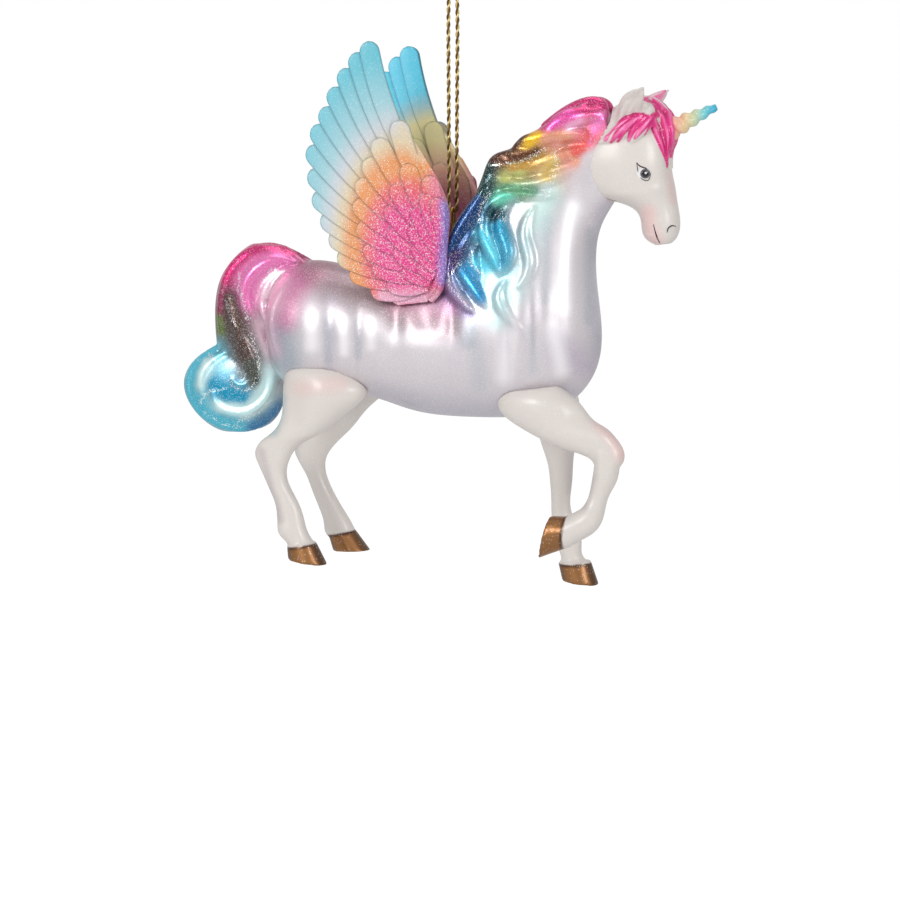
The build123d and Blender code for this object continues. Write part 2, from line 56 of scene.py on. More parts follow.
photoCamera = {"place": (0.1693, -0.5233, -0.0459), "turn": (82.5, 0.0, 18.0), "lens": 91.6, "sensor": 36.0,
               "pixels": 900}


# helpers
weldDistance = 0.002 * mm
maskTurns = 3  # rounds that even out the masks of hollows and ridges
tubeSettings = {"bevel": 3, "steps": 6}


def clearSelection():
    if bpy.context.object and bpy.context.object.mode != "OBJECT":
        bpy.ops.object.mode_set(mode="OBJECT")
    bpy.ops.object.select_all(action="DESELECT")


def pick(piece):
    clearSelection()
    piece.select_set(True)
    bpy.context.view_layer.objects.active = piece


def applyAll(piece):
    pick(piece)
    for modifier in list(piece.modifiers):
        bpy.ops.object.modifier_apply(modifier=modifier.name)


def newPiece(name, data):
    piece = bpy.data.objects.new(name, data)
    bpy.context.scene.collection.objects.link(piece)
    return piece


def editWhole(piece, change, **values):
    pick(piece)
    bpy.ops.object.mode_set(mode="EDIT")
    bpy.ops.mesh.select_all(action="SELECT")
    change(**values)
    bpy.ops.object.mode_set(mode="OBJECT")


def copyNode(node, name):
    piece = newPiece(name, frame["nodes"][node].data.copy())
    piece.data.materials.clear()
    editWhole(piece, bpy.ops.mesh.remove_doubles, threshold=weldDistance)
    return piece


def joinPieces(pieces, name):
    clearSelection()
    for piece in pieces:
        piece.select_set(True)
    bpy.context.view_layer.objects.active = pieces[0]
    bpy.ops.object.join()
    pieces[0].name = name
    return pieces[0]


def voxelSkin(piece, settings):
    remesh = piece.modifiers.new("skin", "REMESH")
    remesh.mode = "VOXEL"
    remesh.voxel_size = settings["voxel"]
    smooth = piece.modifiers.new("smooth", "SMOOTH")
    smooth.factor = settings["smooth"]
    smooth.iterations = settings["turns"]
    applyAll(piece)
    pick(piece)
    bpy.ops.object.shade_smooth()


def vertices(piece):
    places = np.zeros(len(piece.data.vertices) * 3)
    piece.data.vertices.foreach_get("co", places)
    return places.reshape(-1, 3)


def vertexNormals(piece):
    normals = np.zeros(len(piece.data.vertices) * 3)
    piece.data.vertex_normals.foreach_get("vector", normals)
    return normals.reshape(-1, 3)


def setVertices(piece, places):
    piece.data.vertices.foreach_set("co", places.ravel())
    piece.data.update()


def storeMask(piece, name, values):
    layer = piece.data.attributes.get(name) or piece.data.attributes.new(name, "FLOAT", "POINT")
    values = np.broadcast_to(values, len(piece.data.vertices))
    layer.data.foreach_set("value", np.clip(values, 0, 1).astype(np.float32))


def readMask(piece, name):
    values = np.zeros(len(piece.data.vertices), dtype=np.float32)
    piece.data.attributes[name].data.foreach_get("value", values)
    return values


# masks of the hollows and ridges, from how far each vertex lies under its neighbours; the hollow mask sets
# painted shade, the ridge mask painted highlights on the forelock
def creviceMask(piece, turns, gain):
    places = vertices(piece)
    normals = vertexNormals(piece)
    edges = np.zeros(len(piece.data.edges) * 2, dtype=np.int64)
    piece.data.edges.foreach_get("vertices", edges)
    edges = edges.reshape(-1, 2)
    count = np.maximum(np.bincount(edges.ravel(), minlength=len(places)), 1)

    def neighbourMean(values):
        total = np.zeros_like(values)
        np.add.at(total, edges[:, 0], values[edges[:, 1]])
        np.add.at(total, edges[:, 1], values[edges[:, 0]])
        return total / count.reshape([-1] + [1] * (values.ndim - 1))

    spread = places
    for step in range(turns):
        spread = neighbourMean(spread)
    hollow = ((spread - places) * normals).sum(axis=1) * gain
    for step in range(maskTurns):
        hollow = neighbourMean(hollow)
    storeMask(piece, "crevice", hollow)
    storeMask(piece, "ridge", -hollow)


# the photograph's frame
cameraPlace = Vector(photoCamera["place"])
cameraAngles = Euler([math.radians(angle) for angle in photoCamera["turn"]])
cameraTurn = cameraAngles.to_matrix()
focalPixels = photoCamera["lens"] / photoCamera["sensor"] * photoCamera["pixels"]
middlePixel = photoCamera["pixels"] / 2
missDepth = -3 * mm  # where a ray that misses the piece looks for its nearest place
strokeCore = 1.5  # pixels within which a stroke keeps its own lacquer


def photoRay(px, py):
    return (cameraTurn @ Vector((px - middlePixel, middlePixel - py, -focalPixels))).normalized()


# places in the photograph's pixels, the left side as the mirror of the right one
def toPhoto(places):
    near = np.array(places, dtype=float)
    near[:, 1] = -np.abs(near[:, 1])
    local = (near - np.array(cameraPlace)) @ np.array(cameraTurn)
    depth = -local[:, 2]
    return np.stack([middlePixel + focalPixels * local[:, 0] / depth,
                     middlePixel - focalPixels * local[:, 1] / depth], axis=1)


def photoPlane(px, py, y):
    ray = photoRay(px, py)
    return cameraPlace + ray * ((y - cameraPlace.y) / ray.y)


def photoHit(tree, px, py):
    place, normal, index, distance = tree.ray_cast(cameraPlace, photoRay(px, py))
    if place is None:
        place, normal, index, distance = tree.find_nearest(photoPlane(px, py, missDepth))
    return place, normal


def surfaceTree(piece):
    return BVHTree.FromObject(piece, bpy.context.evaluated_depsgraph_get())


def distanceToLine(points, line):
    best = np.full(len(points), 1e9)
    for start, end in zip(line[:-1], line[1:]):
        start = np.array(start, dtype=float)
        run = np.array(end, dtype=float) - start
        share = np.clip(((points - start) @ run) / max(run @ run, 1e-9), 0, 1)
        best = np.minimum(best, np.linalg.norm(points - start - share[:, None] * run, axis=1))
    return best


def softStep(values):
    values = np.clip(values, 0, 1)
    return values * values * (3 - 2 * values)


def tone(red, green, blue):
    shares = [value / 255 for value in (red, green, blue)]
    return tuple(share / 12.92 if share <= 0.04045 else ((share + 0.055) / 1.055) ** 2.4 for share in shares)


def storeColour(piece, colours):
    layer = piece.data.attributes.get("paint") or piece.data.attributes.new("paint", "FLOAT_COLOR", "POINT")
    colours = np.hstack([colours, np.ones((len(colours), 1))])
    layer.data.foreach_set("color", colours.astype(np.float32).ravel())


# each vertex takes the colours of the strokes round it, the nearer ones more
def blendStrokes(pixels, palette, strokes, power):
    total = np.zeros((len(pixels), 1))
    colours = np.zeros((len(pixels), 3))
    for paint, line, reach in strokes:
        weight = (reach / (distanceToLine(pixels, line) + strokeCore))[:, None] ** power
        colours += weight * np.array(tone(*palette[paint]))
        total += weight
    return colours / total


def layColour(colours, paint, mask):
    mask = np.clip(mask, 0, 1)[:, None]
    return colours * (1 - mask) + np.array(tone(*paint)) * mask


def spray(pixels, line, radius, strength):
    return strength * softStep(1 - distanceToLine(pixels, line) / radius)


def layTints(colours, pixels, palette, tints):
    for name, line, radius, strength in tints:
        colours = layColour(colours, palette[name], spray(pixels, line, radius, strength))
    return colours


def rampColours(values, stops):
    places = [place for place, colour in stops]
    return np.stack([np.interp(values, places, [tone(*colour)[channel] for place, colour in stops])
                     for channel in range(3)], axis=1)


def sprayMask(pixels, strokes):
    return np.max([spray(pixels, line, radius, strength) for line, radius, strength in strokes], axis=0)


def nurbsCurve(name, points, order, steps):
    curve = bpy.data.curves.new(name, "CURVE")
    curve.dimensions = "3D"
    curve.resolution_u = steps
    spline = curve.splines.new("NURBS")
    spline.points.add(len(points) - 1)
    for point, place in zip(spline.points, points):
        point.co = (*place, 1.0)
    spline.order_u = min(order, len(points))
    spline.use_endpoint_u = True
    return curve, spline


def tube(name, points, radii, order=4):
    curve, spline = nurbsCurve(name, points, order, tubeSettings["steps"])
    curve.bevel_depth = 1.0
    curve.bevel_resolution = tubeSettings["bevel"]
    curve.use_fill_caps = True
    for point, radius in zip(spline.points, radii):
        point.radius = radius
    pick(newPiece(name, curve))
    bpy.ops.object.convert(target="MESH")
    return bpy.context.object


# hanging cord: route, strands and knot
cordSettings = {"diameter": 1.0 * mm, "strand": 0.27 * mm, "pitch": 3.4 * mm, "steps": 14, "sides": 8,
                "curve": 24}
# x and height over the wire in mm
cordRoute = [(-0.6, 60.0), (-1.2, 50.0), (-1.05, 27.0), (-0.95, 7.0), (-1.0, 2.0), (-0.98, -0.98),
             (0.98, -0.98), (1.0, 2.0), (0.95, 7.0), (1.05, 27.0), (1.2, 50.0), (0.6, 60.0)]


def routePoints():
    places = [(x * mm, 0, eye.z + z * mm) for x, z in cordRoute]
    curve, spline = nurbsCurve("cordRoute", places, 3, cordSettings["curve"])
    holder = newPiece("cordRoute", curve)
    line = bpy.data.meshes.new_from_object(holder)
    points = [vertex.co.copy() for vertex in line.vertices]
    bpy.data.objects.remove(holder)
    return points


def evenPoints(points, step):
    even = [points[0].copy()]
    carried = 0.0
    for start, end in zip(points[:-1], points[1:]):
        length = (end - start).length
        while length > 0 and carried + length >= step:
            share = (step - carried) / length
            start = start + (end - start) * share
            even.append(start.copy())
            length = (end - start).length
            carried = 0.0
        carried += length
    even.append(points[-1].copy())
    return even


def twistedStrand(points, phase):
    radius, pitch, sides = [cordSettings[name] for name in ("strand", "pitch", "sides")]
    offset = cordSettings["diameter"] / 2 - radius
    mesh = bmesh.new()
    rings = []
    travelled = 0.0
    side = Vector((0, 1, 0))
    for index, point in enumerate(points):
        along = (points[min(index + 1, len(points) - 1)] - points[max(index - 1, 0)]).normalized()
        across = side.cross(along).normalized()
        if index:
            travelled += (point - points[index - 1]).length
        angle = phase + 2 * math.pi * travelled / pitch
        centre = point + (across * math.cos(angle) + side * math.sin(angle)) * offset
        ring = []
        for corner in range(sides):
            turn = 2 * math.pi * corner / sides
            ring.append(mesh.verts.new(centre + (across * math.cos(turn) + side * math.sin(turn)) * radius))
        rings.append(ring)
    for lower, upper in zip(rings[:-1], rings[1:]):
        for corner in range(sides):
            after = (corner + 1) % sides
            mesh.faces.new((lower[corner], lower[after], upper[after], upper[corner]))
    mesh.faces.new(list(reversed(rings[0])))
    mesh.faces.new(rings[-1])
    data = bpy.data.meshes.new("strand")
    mesh.to_mesh(data)
    mesh.free()
    return newPiece("strand", data)


def makeCord():
    route = routePoints()
    points = evenPoints(route, cordSettings["pitch"] / cordSettings["steps"])
    strands = [twistedStrand(points, phase) for phase in (0, math.pi)]
    # the ply mask marks one ply to be darkened as painted shade in the cord's gaps
    for strand, share in zip(strands, (1.0, 0.0)):
        storeMask(strand, "ply", share)
    cord = joinPieces(strands, "twisted_cord")
    editWhole(cord, bpy.ops.mesh.normals_make_consistent, inside=False)
    bpy.ops.object.shade_smooth()
    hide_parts("hanging_cord")
    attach(cord, "cord")
    return cord


cord = makeCord()


# glass body
glassSettings = {"voxel": 0.42 * mm, "smooth": 0.5, "turns": 6, "boreRadius": 1.84 * mm,
                 "boreSpare": 2.0 * mm, "boreSides": 48, "boreSlope": 0.3, "maneSink": 0.35,
                 "tailSink": 0.45, "crevices": (6, 4200), "power": 3.4, "dust": 0.6}
# mane locks on the near side: photo places and radius in mm along the lock
maneLocks = [
    [(626, 106, 1.2), (612, 101, 1.8), (596, 99, 1.9), (574, 102, 2.0), (556, 112, 1.7), (542, 126, 0.9)],
    [(614, 114, 1.4), (602, 113, 1.9), (586, 116, 2.2), (568, 117, 2.6), (554, 124, 2.1), (544, 134, 0.9)],
    [(592, 140, 0.5), (578, 132, 1.7), (558, 133, 2.2), (540, 137, 2.2), (526, 144, 1.7), (514, 150, 0.8)],
    [(564, 146, 0.5), (546, 150, 1.3), (526, 155, 1.9), (506, 160, 1.8), (490, 165, 0.9)],
    [(584, 148, 0.5), (568, 154, 1.3), (550, 160, 1.6), (532, 168, 1.9), (512, 173, 1.7), (492, 172, 0.8)],
    [(572, 168, 0.4), (556, 178, 1.4), (536, 184, 1.7), (514, 186, 1.6), (496, 184, 1.3), (484, 182, 0.7)],
    [(556, 196, 0.4), (538, 196, 1.3), (518, 193, 1.5), (501, 198, 2.0), (490, 208, 1.9), (483, 220, 0.9)],
    [(512, 202, 0.6), (501, 214, 1.6), (499, 228, 2.2), (506, 242, 2.4), (510, 256, 2.1), (506, 268, 1.2),
     (500, 276, 0.4)],
    [(494, 206, 0.7), (483, 221, 1.8), (482, 236, 2.0), (490, 250, 2.1), (498, 264, 1.5), (500, 276, 0.4)],
    [(486, 186, 0.9), (476, 203, 1.9), (464, 220, 2.2), (453, 240, 2.0), (447, 258, 0.9)],
    [(472, 232, 0.7), (462, 246, 1.9), (460, 263, 2.3), (468, 280, 2.4), (478, 294, 1.8), (486, 307, 0.5)],
    [(452, 254, 0.7), (448, 272, 1.6), (452, 288, 1.9), (462, 301, 1.7), (474, 312, 0.5)],
    [(534, 206, 0.4), (524, 222, 1.4), (523, 240, 1.8), (531, 256, 1.8), (530, 274, 1.5), (518, 288, 0.5)],
    [(506, 280, 0.4), (497, 292, 1.4), (498, 306, 1.7), (510, 318, 1.5), (520, 330, 0.5)],
]
tailLocks = [
    [(304, 259, 0.6), (288, 249, 1.4), (272, 244, 1.7), (252, 249, 1.7), (236, 260, 1.7), (226, 276, 1.6),
     (221, 294, 1.5), (219, 316, 1.4), (222, 338, 0.9)],
    [(298, 264, 0.6), (280, 257, 1.5), (262, 262, 1.8), (248, 276, 1.8), (242, 294, 1.7), (246, 312, 1.4),
     (256, 326, 0.7)],
    [(298, 268, 0.5), (284, 270, 1.4), (271, 281, 1.7), (264, 296, 1.7), (262, 311, 1.3), (266, 324, 0.6)],
    [(296, 274, 0.4), (284, 286, 1.1), (274, 303, 1.3), (270, 322, 1.2), (274, 342, 1.1), (280, 360, 0.5)],
    [(228, 296, 0.6), (233, 320, 1.6), (241, 340, 1.9), (252, 358, 1.9), (255, 376, 1.6), (246, 387, 1.2),
     (235, 386, 0.9), (232, 378, 0.5)],
    [(258, 328, 0.5), (266, 346, 1.3), (273, 366, 1.6), (274, 386, 1.7), (264, 404, 1.7), (246, 415, 1.8),
     (226, 413, 1.8), (212, 402, 1.4), (213, 391, 0.6)],
    [(221, 344, 0.6), (207, 350, 1.3), (195, 361, 1.4), (188, 377, 1.4), (188, 392, 1.4), (195, 407, 1.4),
     (207, 419, 1.4), (223, 427, 1.4), (241, 430, 1.4), (259, 427, 1.3), (274, 418, 0.9), (282, 410, 0.5)],
    [(226, 352, 0.5), (213, 358, 1.4), (203, 368, 1.8), (199, 382, 1.7), (202, 394, 0.8)],
]
# soft swellings of the blown glass: photo place, half sizes in pixels, height in mm
glassSwells = [
    (312, 328, 15, 34, 0.8), (344, 336, 13, 40, 0.7), (371, 334, 11, 34, 0.5), (329, 336, 7, 34, -0.3),
    (358, 336, 6, 34, -0.25), (412, 352, 16, 34, 0.45), (440, 372, 20, 28, 0.4), (468, 352, 12, 34, 0.35),
    (497, 352, 10, 30, 0.45), (520, 330, 9, 40, 0.5), (545, 322, 9, 40, 0.5), (509, 345, 5, 34, -0.3),
    (533, 326, 5, 36, -0.3), (566, 258, 17, 60, 0.9), (565, 350, 16, 30, 0.5), (300, 352, 12, 22, 0.3),
    (286, 318, 10, 30, 0.3), (425, 320, 14, 16, -0.5), (396, 324, 8, 18, -0.5), (452, 322, 7, 18, -0.4),
]
# where the glass goes out to the photograph's outline: place and half sizes in pixels, shifts in mm
glassPulls = [(500, 166, 20, 15, -1.0, 1.7), (523, 141, 14, 9, -0.3, 0.7)]


# a soft hill in the photograph's frame, 1 at its top
def hill(pixels, px, py, halfX, halfY):
    return np.exp(-((pixels[:, 0] - px) / halfX) ** 2 - ((pixels[:, 1] - py) / halfY) ** 2)


def pulled(places, pulls):
    pixels = toPhoto(places)
    shifts = np.zeros_like(places)
    for *place, alongX, alongZ in pulls:
        shifts += hill(pixels, *place)[:, None] * np.array((alongX, 0, alongZ)) * mm
    return places + shifts


# keeps the outer wall and closes its bore, because the shell remesh would thicken the inner one
def outerWall(piece):
    work = bmesh.new()
    work.from_mesh(piece.data)
    bore = [face for face in work.faces
            if math.hypot(*face.calc_center_median().xy) < glassSettings["boreRadius"]
            and abs(face.normal.z) < glassSettings["boreSlope"]]
    bmesh.ops.delete(work, geom=bore, context="FACES")
    work.verts.ensure_lookup_table()
    groups = []
    unseen = set(work.verts)
    while unseen:
        front = [unseen.pop()]
        group = set(front)
        while front:
            vertex = front.pop()
            for edge in vertex.link_edges:
                other = edge.other_vert(vertex)
                if other in unseen:
                    unseen.discard(other)
                    group.add(other)
                    front.append(other)
        groups.append(group)
    largest = max(groups, key=lambda group: max(v.co.x for v in group) - min(v.co.x for v in group))
    bmesh.ops.delete(work, geom=[v for v in work.verts if v not in largest], context="VERTS")
    bmesh.ops.holes_fill(work, edges=[edge for edge in work.edges if edge.is_boundary])
    work.to_mesh(piece.data)
    work.free()
    print("glass wall groups", len(groups))


# a tube per lock and side, sunk into the surface by a share of its radius
def lockTubes(tree, locks, name, sink):
    tubes = []
    for number, lock in enumerate(locks):
        for side in (1, -1):
            points = []
            for px, py, radius in lock:
                place, normal = photoHit(tree, px, py)
                place = place - normal * radius * mm * sink
                points.append(Vector((place.x, place.y * side, place.z)))
            tubes.append(tube(f"{name}{number}", points, [radius * mm for px, py, radius in lock]))
    return tubes


swellFacing = 1.6  # how soon a swelling fades where the surface turns away from the side


def swellSurface(piece, swells):
    places = vertices(piece)
    normals = vertexNormals(piece)
    pixels = toPhoto(places)
    push = np.zeros(len(places))
    for *place, height in swells:
        push += height * mm * hill(pixels, *place)
    push *= np.clip(np.abs(normals[:, 1]) * swellFacing, 0, 1)
    setVertices(piece, places + normals * push[:, None])


# a bore for the wire's legs through the stub, down to a spare depth under the wire
def drillBore(glass):
    low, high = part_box("wire_loop")
    bottom = low.z - glassSettings["boreSpare"]
    clearSelection()
    bpy.ops.mesh.primitive_cylinder_add(vertices=glassSettings["boreSides"],
                                        radius=glassSettings["boreRadius"],
                                        depth=high.z - bottom,
                                        location=(0, 0, (high.z + bottom) / 2))
    drill = bpy.context.object
    bore = glass.modifiers.new("bore", "BOOLEAN")
    bore.operation = "DIFFERENCE"
    bore.solver = "EXACT"
    bore.object = drill
    applyAll(glass)
    bpy.data.objects.remove(drill)


def makeGlass():
    glass = copyNode("glass_body", "blown_glass")
    outerWall(glass)
    tree = surfaceTree(glass)
    mane = lockTubes(tree, maneLocks, "mane", glassSettings["maneSink"])
    tail = lockTubes(tree, tailLocks, "tail", glassSettings["tailSink"])
    glass = joinPieces([glass] + mane + tail, "blown_glass")
    voxelSkin(glass, glassSettings)
    drillBore(glass)
    setVertices(glass, pulled(vertices(glass), glassPulls))
    swellSurface(glass, glassSwells)
    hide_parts("glass_body")
    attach(glass, "figure")
    creviceMask(glass, *glassSettings["crevices"])
    print("glass", len(glass.data.vertices), "vertices")
    return glass


glass = makeGlass()

# lacquers, in the screen's 0 to 255 values, among them the white, pale pink, sky blue and foam tones of
# painted highlights and the lilac of painted shade
lacquer = {
    "white": (250, 247, 250), "magenta": (206, 26, 112), "pink": (238, 120, 186), "coral": (236, 92, 84),
    "orange": (236, 150, 92), "gold": (242, 190, 18), "brown": (96, 52, 24), "sand": (226, 192, 104),
    "pine": (14, 56, 58), "mint": (96, 206, 176), "teal": (0, 88, 104), "cyan": (0, 150, 188),
    "skyHighlight": (84, 204, 228), "navy": (0, 58, 116), "plum": (58, 34, 92), "violet": (150, 122, 172),
    "mauve": (150, 118, 126), "aqua": (172, 224, 224), "slate": (92, 130, 150), "olive": (104, 124, 56),
    "lilacShade": (190, 186, 200), "rose": (206, 112, 160), "lobe": (240, 84, 172), "lobeHighlight": (255, 188, 224),
    "bark": (84, 40, 22), "ochre": (196, 150, 62), "lime": (202, 206, 118), "fern": (88, 150, 110),
    "deep": (6, 72, 86), "blue": (28, 142, 196), "mist": (210, 222, 214), "ash": (176, 184, 192),
    "petal": (238, 198, 214), "wine": (150, 50, 92), "umber": (84, 62, 56), "lagoon": (70, 184, 208),
    "foamHighlight": (206, 238, 238), "rim": (40, 124, 176), "moss": (66, 72, 62), "plain": (216, 210, 214),
    "peach": (234, 160, 128),
}
# each stroke is a lacquer, its line in the photograph's frame and its reach in pixels
glassStrokes = [
    ("magenta", [(616, 98), (598, 95), (580, 98), (562, 104), (550, 114), (541, 126)], 6),
    ("magenta", [(604, 107), (588, 109), (572, 108)], 4), ("pink", [(603, 116), (594, 130), (588, 142)], 5),
    # the pale pink stroke after the lobe is a painted highlight on it
    ("lobe", [(570, 113), (560, 119), (551, 127)], 7), ("lobeHighlight", [(580, 122), (568, 127)], 3.5),
    ("peach", [(566, 137), (553, 134), (545, 138)], 6), ("coral", [(590, 136), (583, 146), (574, 152)], 7),
    ("peach", [(566, 150), (576, 162)], 4), ("gold", [(538, 135), (529, 143)], 6),
    ("bark", [(524, 134), (513, 146), (499, 152), (490, 160)], 5),
    ("brown", [(536, 151), (520, 156), (504, 160)], 5), ("ochre", [(540, 158), (528, 165), (514, 168)], 5),
    ("sand", [(552, 162), (546, 176)], 5), ("lime", [(520, 173), (506, 178)], 4.5),
    ("fern", [(506, 188), (520, 191), (534, 192)], 5), ("pine", [(487, 168), (486, 180), (481, 191)], 7),
    ("mint", [(509, 197), (497, 199)], 5), ("deep", [(487, 205), (493, 217), (501, 214)], 5),
    ("cyan", [(498, 226), (505, 240), (508, 252), (504, 266)], 6),
    # the sky and foam strokes on the mane are painted highlights on the locks
    ("skyHighlight", [(482, 234), (491, 246), (496, 256), (492, 268), (480, 262)], 4.2),
    ("navy", [(476, 200), (468, 214), (460, 228), (450, 246)], 8), ("plum", [(454, 254), (449, 268)], 6),
    ("blue", [(466, 272), (474, 285), (481, 297)], 5.5),
    ("foamHighlight", [(492, 276), (490, 290), (492, 304)], 3.4), ("skyHighlight", [(469, 276), (475, 285)], 2.4),
    ("violet", [(446, 292), (456, 306), (470, 316)], 5), ("mist", [(548, 190), (536, 206), (528, 226)], 6),
    ("plain", [(540, 240), (530, 280), (520, 310)], 9), ("plain", [(592, 160), (587, 190), (578, 230)], 10),
    ("ash", [(516, 215), (524, 240), (520, 262)], 5), ("plain", [(566, 225), (566, 320)], 8),
    ("plain", [(480, 330), (520, 350), (560, 352)], 14),
    ("plain", [(312, 332), (345, 338), (372, 336), (405, 350)], 13),
    ("plain", [(300, 368), (340, 374)], 11),
    ("magenta", [(308, 260), (290, 248), (270, 242), (250, 247), (234, 259), (223, 278)], 5.5),
    ("pink", [(292, 262), (266, 262), (246, 276), (246, 300)], 6), ("petal", [(280, 276), (270, 298)], 5),
    ("wine", [(219, 288), (218, 306)], 5), ("olive", [(218, 320), (220, 330)], 3.6),
    ("umber", [(230, 300), (236, 326)], 6.5), ("umber", [(240, 340), (246, 354)], 5.5),
    ("moss", [(251, 364), (255, 380)], 5), ("petal", [(266, 326), (276, 350)], 4.5),
    ("lagoon", [(208, 350), (192, 370), (190, 394), (204, 414), (236, 428)], 7),
    # the foam strokes on the tail's curl are painted highlights
    ("cyan", [(214, 385), (226, 396), (242, 397)], 6), ("foamHighlight", [(205, 360), (199, 384)], 5.5),
    ("foamHighlight", [(220, 407), (246, 410), (262, 397), (270, 376)], 5.5),
    ("rim", [(254, 428), (270, 422), (281, 410)], 5),
]
# airbrushed over them, with painted highlights and painted shade among them: lacquer, line, radius in pixels
# and strength
glassTints = [
    ("slate", [(282, 330), (288, 362)], 26, 0.5), ("rose", [(308, 266), (292, 294), (286, 318)], 24, 0.75),
    ("mauve", [(316, 266), (345, 272), (390, 294)], 30, 0.8), ("rose", [(396, 306), (445, 312)], 20, 0.55),
    # painted shade down the chest's front edge, in lilac
    ("lilacShade", [(606, 212), (598, 260), (599, 310), (603, 350)], 20, 0.8),
    # the violet strip is painted shade at the chest's lower edge
    ("violet", [(560, 350), (596, 372)], 26, 0.3), ("mauve", [(330, 290), (392, 308), (450, 320)], 26, 0.6),
    # painted highlights on the neck and chest in white, with painted shade beside and between them in ash
    ("white", [(574, 210), (562, 250), (562, 306)], 17, 0.75), ("ash", [(548, 220), (545, 300)], 9, 0.5),
    ("ash", [(590, 232), (589, 320)], 9, 0.5), ("white", [(508, 332), (504, 376)], 15, 0.7),
    ("white", [(552, 326), (562, 370)], 14, 0.7), ("ash", [(474, 330), (480, 384)], 15, 0.4),
    ("ash", [(531, 330), (534, 368)], 12, 0.35), ("aqua", [(506, 282), (498, 318)], 22, 0.55),
    ("ash", [(513, 206), (519, 232), (524, 262)], 12, 0.55), ("mauve", [(394, 320), (452, 332)], 20, 0.5),
    # painted highlights on the flank's swellings in white, with painted shade between them in slate
    ("white", [(312, 318), (312, 346)], 12, 0.8), ("white", [(344, 320), (344, 352)], 9, 0.8),
    ("white", [(371, 322), (371, 346)], 9, 0.6), ("slate", [(328, 320), (328, 360)], 8, 0.25),
    ("slate", [(358, 322), (358, 356)], 7, 0.25),
    # painted shade along the underside, in lilac
    ("lilacShade", [(380, 400), (440, 414), (500, 416), (570, 400)], 30, 0.7),
    # the lilac strip on the flank is painted shade between its highlights
    ("aqua", [(548, 200), (530, 240), (516, 290)], 26, 0.4), ("lilacShade", [(330, 300), (330, 380)], 12, 0.35),
    ("slate", [(470, 316), (466, 340)], 16, 0.3),
]
lacquerStrokes = [
    ([(616, 99), (580, 105), (545, 130), (515, 150), (488, 172), (474, 205), (458, 240), (452, 275),
      (475, 300)], 34, 1.0),
    ([(304, 260), (262, 252), (234, 285), (232, 330), (226, 380), (250, 405)], 36, 1.0),
]
glitterLines = [
    ([(545, 149), (531, 157), (515, 163), (489, 165)], 3.0, 1.0),
    ([(490, 192), (481, 206), (479, 216), (482, 228), (489, 238)], 2.6, 1.0),
    ([(477, 244), (470, 256), (473, 266), (484, 276), (489, 284)], 2.6, 1.0),
    ([(461, 263), (450, 274), (448, 284), (458, 295), (470, 308)], 2.6, 1.0),
    ([(503, 208), (499, 214), (503, 220)], 3.5, 0.8),
    ([(554, 152), (557, 166), (551, 182), (545, 196)], 6.0, 0.6),
    ([(240, 274), (238, 288), (243, 302), (248, 320)], 4.0, 0.8),
    ([(272, 270), (266, 280), (263, 295)], 6.0, 0.7), ([(226, 300), (231, 318), (236, 326)], 2.4, 0.7),
    ([(250, 334), (257, 352), (259, 374), (253, 386), (243, 392), (232, 386), (229, 378)], 3.0, 1.0),
    ([(200, 404), (204, 394), (214, 390), (224, 389)], 3.0, 1.0), ([(212, 356), (208, 366)], 6.0, 0.8),
    ([(240, 420), (258, 412), (270, 400)], 4.0, 0.8), ([(204, 412), (222, 424), (240, 427)], 2.6, 0.7),
]


# materials
flakeRadius = 0.42
lineFlakes = 0.95  # share of the cells that glitter in the middle of a drawn line
grainHeight = 0.05 * mm
noiseDetails = {"mottle": 4.0, "grain": 3.0}
flakeTints = [(0.0, (1.0, 0.72, 0.86)), (0.25, (1.0, 0.98, 1.0)), (0.5, (0.66, 1.0, 0.94)),
              (0.75, (1.0, 1.0, 1.0)), (1.0, (1.0, 0.9, 0.6))]


def nodeIn(tree, kind, **values):
    node = tree.nodes.new(kind)
    for key, value in values.items():
        setattr(node, key, value)
    return node


def rampStops(node, stops):
    ramp = node.color_ramp
    while len(ramp.elements) > 1:
        ramp.elements.remove(ramp.elements[-1])
    ramp.elements[0].position = stops[0][0]
    ramp.elements[0].color = (*stops[0][1], 1.0)
    for position, colour in stops[1:]:
        ramp.elements.new(position).color = (*colour, 1.0)


def startMaterial(name, metallic, roughness):
    material = bpy.data.materials.new(name)
    material.use_nodes = True
    shader = material.node_tree.nodes["Principled BSDF"]
    shader.inputs["Metallic"].default_value = metallic
    shader.inputs["Roughness"].default_value = roughness
    return material, material.node_tree, shader


def attributeNode(tree, name):
    return nodeIn(tree, "ShaderNodeAttribute", attribute_name=name)


# sets a socket to a number or a colour, or links it
def feed(tree, socket, value):
    if isinstance(value, (int, float)):
        socket.default_value = value
    elif isinstance(value, tuple):
        socket.default_value = (*value, 1.0)
    else:
        tree.links.new(value, socket)


def fedNode(tree, kind, sockets, **values):
    node = nodeIn(tree, kind, **values)
    for name, value in sockets.items():
        feed(tree, node.inputs[name], value)
    return node


def mathNode(tree, operation, first, second):
    node = nodeIn(tree, "ShaderNodeMath", operation=operation)
    feed(tree, node.inputs[0], first)
    feed(tree, node.inputs[1], second)
    return node.outputs[0]


def mixColour(tree, blend, share, first, second):
    sockets = {"Factor": share, "A": first, "B": second}
    return fedNode(tree, "ShaderNodeMix", sockets, data_type="RGBA", blend_type=blend).outputs["Result"]


